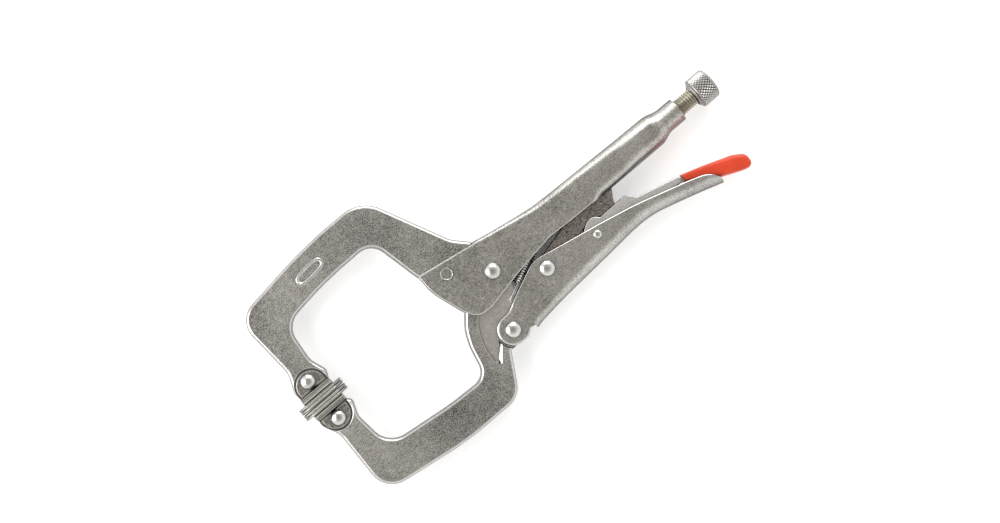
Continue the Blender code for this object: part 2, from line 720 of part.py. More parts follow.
def swivel_pad(name, face_y, direction, material):
    """A pressed pad: round foot, two ribbed walls and two ears that straddle the jaw's tip."""
    foot = []
    for x, z in circle((0.0, 0.0), PAD_RADIUS, 40):
        foot.append((x, max(-PAD_FLAT_HALF, min(PAD_FLAT_HALF, z))))
    foot = [point for index, point in enumerate(foot) if point != foot[index - 1]]
    pad = make_object(name, prism(foot, 0.0, PAD_DISC_HEIGHT, "Y"), (0.0, 0.0), material)
    ear_outline = [(-EAR_CHORD_HALF, EAR_CHORD_HEIGHT), (EAR_CHORD_HALF, EAR_CHORD_HEIGHT)]
    ear_outline += arc((0.0, EAR_CENTRE_HEIGHT), EAR_RADIUS, 0.0, math.pi, 12)
    for side in (-1.0, 1.0):
        join(pad, side_bar(PAD_WALL_OUTLINE, WALL_HALF_WIDTH, side))
        join(pad, side_bar(PAD_NECK_OUTLINE, EAR_CHORD_HALF, side))
        ear = prism(ear_outline, min(side * EAR_INNER, side * EAR_OUTER),
                    max(side * EAR_INNER, side * EAR_OUTER))
        join(pad, ear)
    drill(pad, (0.0, PAD_RIVET_HEIGHT), PAD_RIVET_SHANK + GAP)
    turn = Matrix.Rotation(0.0 if direction > 0 else math.pi, 4, "Z")
    rivet_height = Matrix.Translation((0.0, -PAD_RIVET_HEIGHT * MM, 0.0))
    pad.data.transform(turn @ rivet_height)
    pivot_y = face_y + direction * PAD_RIVET_HEIGHT
    pad.location = (Vector(FRAME_SHIFT) + Vector((PAD_X, pivot_y, 0.0))) * MM
    return pad


def side_bar(outline, half_length, side):
    """A bar along X with a (height, z) section, on one side of the jaw."""
    bm = bmesh.new()
    rings = []
    for x in (-half_length, half_length):
        rings.append([bm.verts.new((x, height, side * z)) for height, z in outline])
    count = len(outline)
    bm.faces.new(rings[0])
    bm.faces.new(rings[1])
    for index in range(count):
        following = (index + 1) % count
        bm.faces.new((rings[0][index], rings[0][following], rings[1][following], rings[1][index]))
    return bm


def return_spring(material):
    """A tension spring as one swept tube: hook, coil, hook."""
    start = Vector((SPRING_HOOK[0], SPRING_HOOK[1], 0.0))
    end = Vector((SPRING_ANCHOR[0], SPRING_ANCHOR[1], 0.0))
    along = (end - start).normalized()
    side = Vector((-along.y, along.x, 0.0))
    up = Vector((0.0, 0.0, 1.0))
    coil_start = start + along * SPRING_JAW_REACH
    coil_end = end - along * SPRING_ANCHOR_REACH
    route = [
        start - up * SPRING_HOOK_HALF, start, start + up * SPRING_HOOK_HALF,
        start + along * SPRING_HOOK_RUN + up * SPRING_HOOK_HALF,
    ]
    per_turn = 8
    for step in range(SPRING_TURNS * per_turn + 1):
        turn = 2.0 * math.pi * step / per_turn
        centre = coil_start.lerp(coil_end, step / (SPRING_TURNS * per_turn))
        offset = up * math.cos(turn) + side * math.sin(turn)
        route.append(centre + offset * SPRING_COIL_RADIUS)
    anchor_hook = up * SPRING_ANCHOR_HALF
    route += [end - along * 2.0 + anchor_hook, end + anchor_hook, end - anchor_hook]
    return swept_tube("return_spring", route, SPRING_WIRE_RADIUS, SPRING_HOOK, material)


def swept_tube(name, route, radius, pivot, material):
    curve = bpy.data.curves.new(name, "CURVE")
    curve.dimensions = "3D"
    curve.bevel_depth = radius * MM
    curve.bevel_resolution = 0
    curve.use_fill_caps = True
    spline = curve.splines.new("POLY")
    spline.points.add(len(route) - 1)
    offset = Vector((pivot[0], pivot[1], 0.0))
    for point, place in zip(spline.points, route):
        point.co = (*((place - offset) * MM), 1.0)
    model = bpy.data.objects.new(name, curve)
    bpy.context.scene.collection.objects.link(model)
    model.location = (Vector(FRAME_SHIFT) + offset) * MM
    curve.materials.append(material)
    return model


def fixed_pin(material):
    """A flush cross pin that holds the fixed jaw in the handle's nose."""
    profile = [
        (-UPPER_HALF, 0.0), (-UPPER_HALF, FIXED_PIN_RADIUS),
        (UPPER_HALF, FIXED_PIN_RADIUS), (UPPER_HALF, 0.0),
    ]
    centre = (FIXED_JAW_PIN[0], FIXED_JAW_PIN[1], 0.0)
    pin = make_object("fixed_jaw_pin", lathe(profile, 24, "Z", centre), FIXED_JAW_PIN, material)
    smooth(pin)
    return pin


def build():
    clear_scene()
    forged = metal("forged_nickel", (0.40, 0.40, 0.39), 0.42, 1.0)
    sheet = metal("sheet_nickel", (0.52, 0.52, 0.51), 0.32, 1.0)
    polished = metal("polished_rivet", (0.62, 0.62, 0.60), 0.2, 1.0)
    dark = metal("dark_steel", (0.22, 0.21, 0.20), 0.5, 1.0)
    zinc = metal("yellow_zinc", (0.55, 0.53, 0.45), 0.35, 1.0)
    orange = metal("orange_grip", (0.85, 0.10, 0.03), 0.35, 0.0)

    upper_handle(sheet)
    fixed_jaw(forged)
    fixed_pin(sheet)
    rivet("main_pivot_rivet", MAIN_PIVOT, UPPER_HALF + GAP, RIVET_SHANK, RIVET_HEAD,
          RIVET_DOME, polished)
    moving_jaw(forged)
    rivet("jaw_handle_rivet", JAW_HANDLE_PIVOT, LOWER_FRONT_HALF + GAP, RIVET_SHANK, RIVET_HEAD,
          RIVET_DOME, polished)
    lower_handle(sheet)
    rivet("link_rivet", LINK_PIVOT, LINK_RIVET_SEAT, RIVET_SHANK, RIVET_HEAD, RIVET_DOME, polished)
    toggle_link(dark)
    release_lever(zinc)
    rivet("release_lever_pin", RELEASE_PIVOT, LOWER_HALF + GAP, PIN_SHANK, PIN_HEAD, PIN_DOME,
          polished)
    release_lever_grip(orange)
    return_spring(zinc)
    screw_pilot(zinc)
    adjusting_screw(zinc)
    screw_knob(zinc)
    swivel_pad("upper_pad", UPPER_PAD_FACE_Y, 1, sheet)
    rivet("upper_pad_rivet", (PAD_X, UPPER_PAD_FACE_Y + PAD_RIVET_HEIGHT), EAR_OUTER + GAP,
          PAD_RIVET_SHANK, PAD_RIVET_HEAD, RIVET_DOME, polished)
    swivel_pad("lower_pad", LOWER_PAD_FACE_Y, -1, sheet)
    rivet("lower_pad_rivet", (PAD_X, LOWER_PAD_FACE_Y - PAD_RIVET_HEIGHT), EAR_OUTER + GAP,
          PAD_RIVET_SHANK, PAD_RIVET_HEAD, RIVET_DOME, polished)


build()
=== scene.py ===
"""Looks for the locking C-clamp pliers: fine pieces that stand for the CAD nodes, in plated metal.

Shapes are drawn in millimetres in the same drawing plane as the CAD: the main pivot is at
(0, 0), +X runs along the handles to the knob, +Y to the fixed jaw and z = 0 is the middle of
the sheet metal.  SHIFT and MM turn them into the frame's metres.
"""
import math

import bmesh
import bpy
from mathutils import Matrix, Vector


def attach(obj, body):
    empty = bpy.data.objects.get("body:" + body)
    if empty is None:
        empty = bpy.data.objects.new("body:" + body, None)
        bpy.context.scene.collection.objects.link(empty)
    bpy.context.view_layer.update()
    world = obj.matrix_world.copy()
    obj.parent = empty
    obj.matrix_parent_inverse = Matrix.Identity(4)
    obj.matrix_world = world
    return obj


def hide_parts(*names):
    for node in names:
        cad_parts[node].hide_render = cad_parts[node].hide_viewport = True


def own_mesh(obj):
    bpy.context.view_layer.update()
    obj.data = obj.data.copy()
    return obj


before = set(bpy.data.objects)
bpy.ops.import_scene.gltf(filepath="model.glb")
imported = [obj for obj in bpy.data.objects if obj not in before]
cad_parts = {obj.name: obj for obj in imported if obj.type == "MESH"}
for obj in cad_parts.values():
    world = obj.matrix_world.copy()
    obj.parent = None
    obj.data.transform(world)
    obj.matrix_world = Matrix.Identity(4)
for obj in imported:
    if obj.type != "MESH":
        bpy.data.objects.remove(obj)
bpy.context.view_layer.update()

MM = 0.001
GAP = 0.3
SHIFT = Vector((-15.0, -7.15, 11.0))
CUTTER_REACH = 20.0
ROUND_STEPS = 56

# Pivots of the linkage.
MAIN_PIVOT = (0.0, 0.0)
JAW_HANDLE_PIVOT = (-11.7, -30.3)
LINK_PIVOT = (22.8, -17.4)
RELEASE_PIVOT = (54.7, -21.0)
FIXED_JAW_PIN = (-19.3, 14.4)
SPRING_HOOK = (-2.8, -17.7)
SPRING_ANCHOR = (46.0, 5.2)
SCREW_AXIS_Y = 1.5

# Layers, as half widths about z = 0.
JAW_HALF = 5.0
TANG_HALF = 2.8
TIP_HALF = 3.0
LINK_HALF = 2.7
LEVER_HALF = 4.5
LEVER_SHEET = 1.3
LEVER_TAIL_HALF = 1.5
GRIP_HALF = 4.5
UPPER_HALF = 7.3
LOWER_FRONT_HALF = 5.15
LOWER_HALF = 7.1
SHEET = 2.0

# Rounded rims: how far each reaches in from the edge, and how far down.
JAW_RIM = (1.9, 2.2)
JAW_FLASH = 0.12
LINK_RIM = (0.6, 0.6)
LEVER_RIM = (0.6, 0.7)
TAIL_RIM = (0.3, 0.3)
SHEET_RIM_WIDTH = 0.7
SHEET_RIM_TURN = math.radians(78.0)
# A corner without a radius is worked out as an arc of this radius.
SHARP_RADIUS = 1e-6
NOSE_RIM_WIDTH = 1.5
NOSE_RIM_HEIGHT = 0.8
STATION_SPACING = 2.5

# Round parts.
RIVET_SHANK = 3.0
RIVET_HEAD = 4.5
RIVET_DOME = 3.0
LINK_RIVET_SEAT = 6.32
HEAD_LIFT = 0.02
FIXED_PIN_RADIUS = 3.6
PIN_SHANK = 1.6
PIN_HEAD = 2.3
PIN_DOME = 1.3
PAD_RIVET_SHANK = 2.5
PAD_RIVET_HEAD = 4.2
HUB_RADIUS = 9.2
HUB_CLEARANCE = 10.5
NOSE_CLEARANCE = 9.7
SPRING_HOLE_RADIUS = 1.2

# Adjusting screw and knob, along +X.
SCREW_TIP_X = 93.2
SCREW_PILOT_RADIUS = 3.6
SCREW_PILOT_LENGTH = 6.0
PILOT_TIP_RADIUS = 1.8
THREAD_RADIUS = 5.05
THREAD_DEPTH = 0.8
THREAD_PITCH = 1.5
THREAD_START_X = 116.0
TUBE_END_X = 131.0
TUBE_WALL = 1.45
TUBE_RADIUS = 6.85
KNOB_START_X = 142.0
KNOB_END_X = 154.5
KNOB_RADIUS = 8.7
KNURL_START_X = 144.0
SPINDLE_RADIUS = 3.2

# Swivel pads: height is counted from the gripping face towards the jaw.
PAD_X = -110.6
PAD_RADIUS = 13.9
PAD_FLAT_HALF = 11.0
PAD_DISC_HEIGHT = 3.3
PAD_RIVET_HEIGHT = 12.0
UPPER_PAD_FACE_Y = 6.5
LOWER_PAD_FACE_Y = 6.1
EAR_RADIUS = 8.0
EAR_CENTRE_HEIGHT = 9.3
EAR_INNER = 3.3
EAR_OUTER = 5.2
EAR_CHORD_HEIGHT = 7.5
EAR_CHORD_HALF = 7.6
WALL_HALF_WIDTH = 9.4
JAW_TIP_RECESS_RADIUS = 8.9

# Outlines: each corner is (x, y, fillet radius), joined by straight edges.
FIXED_JAW_OUTLINE = [
    (-119.9, 13.2, 1.5), (-101.2, 13.2, 1.5), (-99.3, 17.6, 3), (-102.5, 26.5, 12),
    (-100.2, 48.3, 11.5), (-74.8, 51.8, 80), (-59.9, 52.6, 60), (-38.8, 52.8, 10),
    (-32.6, 24.6, 20), (-31.0, 19.6, 10), (-30.3, 10.1, 20), (-27.1, 0.6, 10),
    (-25.6, -2.6, 1.1), (-22.0, -1.9, 1.1), (-2.9, HUB_CLEARANCE, HUB_CLEARANCE),
    (1.4, HUB_CLEARANCE, 1.1), (1.4, 19.1, 1.1), (-6.1, 26.9, 12), (-28.5, 73.85, 19),
    (-56.9, 73.85, 60), (-74.8, 72.7, 120), (-118.1, 66.7, 12.5), (-115.9, 28.4, 14),
    (-120.2, 18.2, 5),
]
MOVING_JAW_OUTLINE = [
    (-120.0, -0.8, 1.5), (-120.0, -3.9, 5), (-115.9, -13.4, 10), (-117.2, -52.0, 13.5),
    (-73.8, -58.5, 80), (-59.9, -59.5, 60), (-31.7, -59.6, 13), (-19.2, -38.1, 1.5),
    (-4.6, -37.6, 7.0), (-4.5, -26.5, 5), (2.3, -14.0, 8),
    (HUB_RADIUS, -1.5, 6), (HUB_RADIUS, HUB_RADIUS, HUB_RADIUS), (-2.6, HUB_RADIUS, 8.0),
    (-21.9, -3.4, 6), (-30.9, -13.9, 25), (-34.7, -22.4, 25), (-38.6, -39.7, 8.5),
    (-61.9, -38.7, 100), (-100.1, -34.0, 12.5), (-102.3, -11.9, 10), (-98.9, -3.5, 2.5),
    (-101.2, -0.8, 1.5),
]
TANG_RECESS_OUTLINE = [
    (-15.4, -7.9, 0), (-29.9, -23.2, 34), (-28.9, -38.9, 0.9), (-17.9, -26.0, 0),
    (-11.7, -30.3, 0), (14.0, -30.3, 0), (14.0, -7.9, 0),
]
TANG_RAMP_OUTLINE = [(-28.9, -39.0), (-17.9, -26.1), (-16.5, -27.3), (-27.4, -40.1)]
UPPER_HANDLE_PROFILE = [
    (-31.5, 23.1, 1), (-31.5, 14.7, 4), (-30.8, 9.6, 20), (-25.4, -6.4, 12),
    (-21.0, -13.8, 8), (-12.1, -14.1, 6), (10.0, -9.4, 60), (34.8, -5.8, 8),
    (50.5, -6.6, 40), (62.7, -6.75, 0), (62.7, -30.0, 0), (150.0, -30.0, 0),
    (150.0, 40.0, 0), (1.9, 40.0, 0), (1.9, 17.45, 0),
]
# Where the upper handle's web is cut away between its two sides, for the fixed jaw.
JAW_SLOT_OUTLINE = [(-40.0, 10.0), (1.9, 10.0), (1.9, 30.0), (-40.0, 30.0)]
LOWER_HANDLE_PROFILE = [
    (-20.0, -38.6, 8.3), (-20.0, -22.0, 8.3), (-8.0, -22.0, 10), (0.6, -17.7, 40),
    (19.7, -9.3, 14), (35.3, -12.6, 100), (58.7, -17.1, 80), (81.0, -22.1, 100),
    (109.6, -30.5, 60), (120.8, -34.4, 12), (124.8, -41.0, 4), (124.5, -43.7, 1.2),
    (110.0, -60.0, 0), (-0.4, -60.0, 0), (-0.4, -36.0, 0), (-3.9, -36.0, 1), (-7.4, -38.6, 4),
]
LINK_OUTLINE = [
    (16.3, -24.2, 6.8), (16.3, -10.6, 6.8), (27.0, -10.6, 12), (84.5, 4.7, 3.2),
    (89.7, 4.0, 3.2), (89.7, -1.9, 3.0), (79.5, -3.5, 6), (73.6, -12.5, 8), (72.0, -17.6, 1.5),
    (65.5, -17.6, 2), (60.0, -13.3, 5), (50.5, -14.3, 6), (30.0, -24.2, 9),
]
LEVER_OUTLINE = [
    (50.6, -15.1, 1), (57.6, -10.4, 5.5), (61.8, -15.1, 0.6), (80.0, -14.9, 0.8),
    (83.6, -19.6, 2), (107.3, -25.6, 0), (107.3, -29.4, 0), (84.0, -26.3, 20),
    (60.0, -26.4, 3), (50.0, -25.6, 4),
]
LEVER_TROUGH_OUTLINE = [
    (40.0, -23.9), (84.0, -24.2), (106.0, -28.0), (112.0, -10.0), (40.0, -5.0),
]
LEVER_TAIL_OUTLINE = [
    (106.8, -26.2, 0), (121.8, -32.3, 20), (138.0, -38.5, 3), (139.2, -43.0, 3),
    (124.5, -36.6, 8), (106.8, -29.2, 0),
]
GRIP_OUTLINE = [
    (103.4, -23.9, 1), (121.8, -29.9, 40), (137.0, -35.4, 12), (143.6, -39.5, 5),
    (143.2, -47.6, 3.2), (137.0, -46.0, 20), (125.5, -41.0, 6), (120.0, -37.0, 10),
    (103.4, -27.2, 1),
]
GRIP_MOUTH_X = 109.4
GRIP_TRIM_OUTLINE = [
    (90.0, -50.0), (GRIP_MOUTH_X, -50.0), (GRIP_MOUTH_X, -10.0), (90.0, -10.0),
]
GRIP_CENTRE_LINE = [(103.4, -25.4), (109.4, -27.5), (121.8, -33.4), (131.0, -38.6), (138.6, -43.0)]
GRIP_POCKET_OUTLINE = [
    (106.0, -25.6), (121.8, -31.9), (138.3, -38.0), (139.8, -43.9), (124.5, -37.2),
    (106.0, -29.8),
]

# Upper handle stations: x, top y, bottom y, half width, top bend radius,
# bottom bend radius, how far the lower edge curls in (degrees), wall.
UPPER_HANDLE_STATIONS = [
    (-36.0, 24.8, -20.0, UPPER_HALF, 2.2, 2.5, 0, SHEET),
    (1.7, 18.5, -20.0, UPPER_HALF, 2.2, 2.5, 0, SHEET),
    (10.7, 16.7, -16.0, UPPER_HALF, 2.3, 2.5, 0, SHEET),
    (20.7, 15.0, -13.0, UPPER_HALF, 2.5, 2.5, 0, SHEET),
    (30.8, 13.4, -10.0, UPPER_HALF, 3.0, 2.5, 0, SHEET),
    (40.8, 12.2, -8.0, UPPER_HALF, 3.6, 2.5, 0, SHEET),
    (62.7, 11.5, -6.8, 7.4, 4.0, 5.0, 8, SHEET),
    (67.0, 11.4, -7.2, 7.5, 4.2, 5.6, 42, SHEET),
    (71.3, 11.3, -7.4, 7.6, 4.4, 6.0, 72, SHEET),
    (86.0, 10.9, -7.5, 7.6, 5.0, 6.0, 72, SHEET),
    (97.0, 10.6, -7.55, 7.7, 6.0, 6.9, 84, SHEET),
    (112.9, 10.4, -7.6, 7.8, 7.0, 7.2, 86, SHEET),
    (116.6, 9.7, -6.8, 7.4, 6.9, 6.9, 86, 1.7),
    (119.6, 8.8, -5.6, 6.95, 6.85, 6.85, 86, TUBE_WALL),
    (122.0, SCREW_AXIS_Y + TUBE_RADIUS, SCREW_AXIS_Y - TUBE_RADIUS, TUBE_RADIUS,
     TUBE_RADIUS, TUBE_RADIUS, 86, TUBE_WALL),
    (TUBE_END_X, SCREW_AXIS_Y + TUBE_RADIUS, SCREW_AXIS_Y - TUBE_RADIUS, TUBE_RADIUS,
     TUBE_RADIUS, TUBE_RADIUS, 86, TUBE_WALL),
]

# Lower handle stations: x, back y, half width, back bend radius.
LOWER_HANDLE_STATIONS = [
    (-24.0, -50.0, LOWER_FRONT_HALF, 2.3), (-1.2, -50.0, LOWER_FRONT_HALF, 2.3),
    (-0.6, -38.3, LOWER_FRONT_HALF, 4.9), (11.0, -36.5, 5.3, 5.1), (21.0, -35.5, 5.9, 5.7),
    (31.1, -34.8, 6.5, 6.3), (41.1, -34.2, 6.9, 6.7),
]
LOWER_HANDLE_STATIONS += [
    (x, back, LOWER_HALF, LOWER_HALF - 0.2) for x, back in (
        (51.2, -33.6), (61.3, -32.9), (71.4, -32.2), (77.9, -32.1), (85.8, -32.9),
        (94.6, -35.0), (101.7, -37.0), (111.9, -40.0), (126.0, -44.5))
]
LOWER_HANDLE_TOP_Y = -4.0

# Spring: a close-wound coil with a hook at each end.
SPRING_WIRE_RADIUS = 0.55
SPRING_COIL_RADIUS = 2.3
SPRING_TURNS = 27
SPRING_JAW_REACH = 10.0
SPRING_ANCHOR_REACH = 6.0
SPRING_HOOK_HALF = 3.6
SPRING_HOOK_RUN = 4.0
SPRING_ANCHOR_HALF = 1.8


# ---------------------------------------------------------------- outlines

def arc(centre, radius, start, end, steps):
    points = []
    for step in range(steps + 1):
        angle = start + (end - start) * step / steps
        points.append((centre[0] + radius * math.cos(angle), centre[1] + radius * math.sin(angle)))
    return points


def circle(centre, radius, steps=64):
    return arc(centre, radius, 0.0, 2.0 * math.pi, steps)[:-1]


def corner_arcs(corners):
    """Work out the fillet at each corner of a closed outline, once for every inset of it."""
    places = [Vector(corner[:2]) for corner in corners]
    count = len(places)
    area = sum(here.cross(places[(index + 1) % count]) for index, here in enumerate(places))
    facing = 1.0 if area > 0.0 else -1.0
    arms = []
    wanted = []
    for index, here in enumerate(places):
        towards = (places[index - 1] - here).normalized()
        onwards = (places[(index + 1) % count] - here).normalized()
        half_turn = (math.pi - towards.angle(onwards)) / 2.0
        arms.append((towards, onwards, half_turn))
        wanted.append(corners[index][2] * math.tan(half_turn))
    fillets = []
    for index, here in enumerate(places):
        towards, onwards, half_turn = arms[index]
        reach = wanted[index]
        for neighbour in (index - 1, (index + 1) % count):
            length = (places[neighbour] - here).length
            asked = wanted[index] + wanted[neighbour]
            if asked > length:
                reach = min(reach, length * wanted[index] / asked)
        radius = reach / math.tan(half_turn)
        bisector = (towards + onwards).normalized()
        convex = (towards.y * onwards.x - towards.x * onwards.y) * facing > 0.0
        centre = here + bisector * (radius / math.cos(half_turn))
        span = max(radius, SHARP_RADIUS)
        middle = here + bisector * (span / math.cos(half_turn))
        first = here + towards * (span * math.tan(half_turn)) - middle
        last = here + onwards * (span * math.tan(half_turn)) - middle
        start = math.atan2(first.y, first.x)
        sweep = math.atan2(first.x * last.y - first.y * last.x, first.dot(last))
        steps = max(1, math.ceil(min(abs(sweep) / math.radians(5.0), radius * abs(sweep) / 0.45)))
        fillets.append((here, bisector, half_turn, radius, centre, start, sweep, steps, convex))
    return fillets


def outline_at(fillets, inset):
    """The outline moved inwards, always with the same number of points."""
    points = []
    for here, bisector, half_turn, radius, centre, start, sweep, steps, convex in fillets:
        grown = radius - inset if convex else radius + inset
        if grown >= 0.0:
            points += arc(centre, grown, start, start + sweep, steps)
        else:
            apex = here + bisector * (inset / math.cos(half_turn))
            points += [tuple(apex)] * (steps + 1)
    return points


def nearest_on_line(place, line):
    """The point of a polyline that lies nearest to a place."""
    best = None
    for start, end in zip(line, line[1:]):
        start, end = Vector(start), Vector(end)
        along = end - start
        share = min(max((Vector(place) - start).dot(along) / along.length_squared, 0.0), 1.0)
        point = start + along * share
        if best is None or (Vector(place) - point).length < (Vector(place) - best).length:
            best = point
    return best


# ---------------------------------------------------------------- solids

def weld(bm, distance=1e-4):
    bmesh.ops.remove_doubles(bm, verts=bm.verts, dist=distance)
    bmesh.ops.dissolve_degenerate(bm, edges=bm.edges, dist=distance)
    return bm


def skin(bm, rings, material_index=0):
    """Join neighbouring closed rings of vertices with four-sided faces."""
    count = len(rings[0])
    for near, far in zip(rings, rings[1:]):
        for index in range(count):
            following = (index + 1) % count
            face = bm.faces.new((near[index], near[following], far[following], far[index]))
            face.material_index = material_index


def close_ends(bm, rings, material_index=0):
    for ring in (rings[0], rings[-1]):
        bm.faces.new(ring).material_index = material_index


def stacked(levels, axis="Z", cap=0):
    """A closed solid through outlines at rising positions along Z, or along Y as (x, z)."""
    bm = bmesh.new()
    rings = []
    for level, places in levels:
        if axis == "Z":
            rings.append([bm.verts.new((x, y, level)) for x, y in places])
        else:
            rings.append([bm.verts.new((x, level, z)) for x, z in places])
    skin(bm, rings, 1)
    close_ends(bm, rings, cap)
    return weld(bm)


def prism(outline, low, high, axis="Z"):
    return stacked([(low, outline), (high, outline)], axis)


def rounded_plate(corners, half, width, height, steps=6, flash=0.0):
    """A plate whose rims are elliptical roundings, with an optional ridge along its middle."""
    fillets = corner_arcs(corners)
    side = []
    for step in range(steps + 1):
        angle = math.pi / 2.0 * step / steps
        side.append((half - height + height * math.sin(angle), width * (1.0 - math.cos(angle))))
    if flash > 0.0:
        side = [(0.25, -flash), (0.45, 0.0)] + side
    return stacked([(z, outline_at(fillets, inset)) for z, inset in both_sides(side)])


def sheet_cutter(corners, half_at, rim_at, rim_height=0.5, piece=2.5):
    """A profile cutter that follows the sheet's width and rounds the sheet's outer rims.

    half_at(x) is where the sheet's outer face lies and rim_at(x) how wide its rim is.
    """
    fillets = corner_arcs(corners)
    sharp = outline_at(fillets, 0.0)
    inner = outline_at(fillets, 1.0)
    path = []
    for index, here in enumerate(sharp):
        following = (index + 1) % len(sharp)
        start, end = Vector(here), Vector(sharp[following])
        pieces = max(1, math.ceil((end - start).length / piece))
        for step in range(pieces):
            share = step / pieces
            outer = start.lerp(end, share)
            path.append((outer, Vector(inner[index]).lerp(Vector(inner[following]), share)))
    side = []
    for step in range(6):
        angle = SHEET_RIM_TURN * step / 5.0
        side.append((rim_height * (math.sin(angle) - 1.0), 1.0 - math.cos(angle)))
    side.append((0.5, side[-1][1] + 0.9))
    bm = bmesh.new()
    rings = []
    for sign, rows in ((-1.0, list(reversed(side))), (1.0, side)):
        for rise, share in rows:
            ring = []
            for outer, shrunk in path:
                place = outer.lerp(shrunk, share * rim_at(outer.x))
                ring.append(bm.verts.new((place.x, place.y, sign * (half_at(outer.x) + rise))))
            rings.append(ring)
    skin(bm, rings, 1)
    close_ends(bm, rings)
    weld(bm)
    bmesh.ops.triangulate(bm, faces=[face for face in bm.faces if len(face.verts) == 4])
    return bm


def axis_point(axis, centre, along, across, up):
    if axis == "X":
        return (centre[0] + along, centre[1] + across, centre[2] + up)
    return (centre[0] + across, centre[1] + up, centre[2] + along)


def lathe(profile, segments, axis, centre=(0.0, 0.0, 0.0)):
    """Turn (position along the axis, radius) points into a closed solid."""
    bm = bmesh.new()
    rings = []
    for along, radius in profile:
        if radius < 1e-6:
            rings.append([bm.verts.new(axis_point(axis, centre, along, 0.0, 0.0))])
            continue
        ring = []
        for step in range(segments):
            angle = 2.0 * math.pi * step / segments
            across = radius * math.cos(angle)
            up = radius * math.sin(angle)
            ring.append(bm.verts.new(axis_point(axis, centre, along, across, up)))
        rings.append(ring)
    for near, far in zip(rings, rings[1:]):
        for step in range(segments):
            following = (step + 1) % segments
            if len(near) == 1:
                bm.faces.new((near[0], far[step], far[following]))
            elif len(far) == 1:
                bm.faces.new((near[step], near[following], far[0]))
            else:
                bm.faces.new((near[step], near[following], far[following], far[step]))
    for ring in (rings[0], rings[-1]):
        if len(ring) > 1:
            bm.faces.new(ring)
    return bm


def both_sides(half):
    """A profile along Z and its mirror image, from the lower end to the upper one."""
    return [(-z, size) for z, size in reversed(half)] + half


def to_object(name, bm, materials=()):
    bmesh.ops.recalc_face_normals(bm, faces=bm.faces)
    for vertex in bm.verts:
        vertex.co = (vertex.co + SHIFT) * MM
    mesh = bpy.data.meshes.new(name)
    bm.to_mesh(mesh)
    bm.free()
    model = bpy.data.objects.new(name, mesh)
    bpy.context.scene.collection.objects.link(model)
    for material in materials:
        mesh.materials.append(material)
    return model


def bake(model):
    """Replace a model's mesh with what its modifiers make of it."""
    graph = bpy.context.evaluated_depsgraph_get()
    baked = bpy.data.meshes.new_from_object(model.evaluated_get(graph))
    model.modifiers.clear()
    model.data = baked


def combine(target, bm, operation):
    tool = to_object("tool", bm)
    modifier = target.modifiers.new(operation.title(), "BOOLEAN")
    modifier.operation = operation
    modifier.solver = "EXACT"
    modifier.object = tool
    bake(target)
    bpy.data.objects.remove(tool, do_unlink=True)


def cut(target, bm):
    combine(target, bm, "DIFFERENCE")


def join(target, bm):
    combine(target, bm, "UNION")


def keep_inside(target, bm):
    combine(target, bm, "INTERSECT")


def drill(target, centre, radius):
    cut(target, prism(circle(centre, radius, 48), -CUTTER_REACH, CUTTER_REACH))


def merge_flats(model, degrees=0.3):
    """Join the coplanar faces that Booleans leave in pieces."""
    bm = bmesh.new()
    bm.from_mesh(model.data)
    bmesh.ops.remove_doubles(bm, verts=bm.verts, dist=1e-7)
    bmesh.ops.dissolve_limit(
        bm, angle_limit=math.radians(degrees), verts=bm.verts, edges=bm.edges,
        delimit={"MATERIAL"})
    bm.to_mesh(model.data)
    bm.free()


def finish_piece(model, body, nodes, sharp=35.0):
    """Smooth shading with flat faces kept flat, then the piece rides and stands for its nodes."""
    model.data.shade_smooth()
    model.data.set_sharp_from_angle(angle=math.radians(sharp))
    weighted = model.modifiers.new("Flats", "WEIGHTED_NORMAL")
    weighted.keep_sharp = True
    weighted.mode = "FACE_AREA"
    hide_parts(*nodes)
    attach(model, body)
    return model


# ---------------------------------------------------------------- materials

# Painted shade on the sides of plated metal: the share of its tone that it keeps where it faces
# sideways, and how much a surface faces along Z where that share ends and where the full tone
# starts.
PAINTED_SIDE_SHADE = 0.24
SIDE_END = 0.4
FACE_START = 0.82


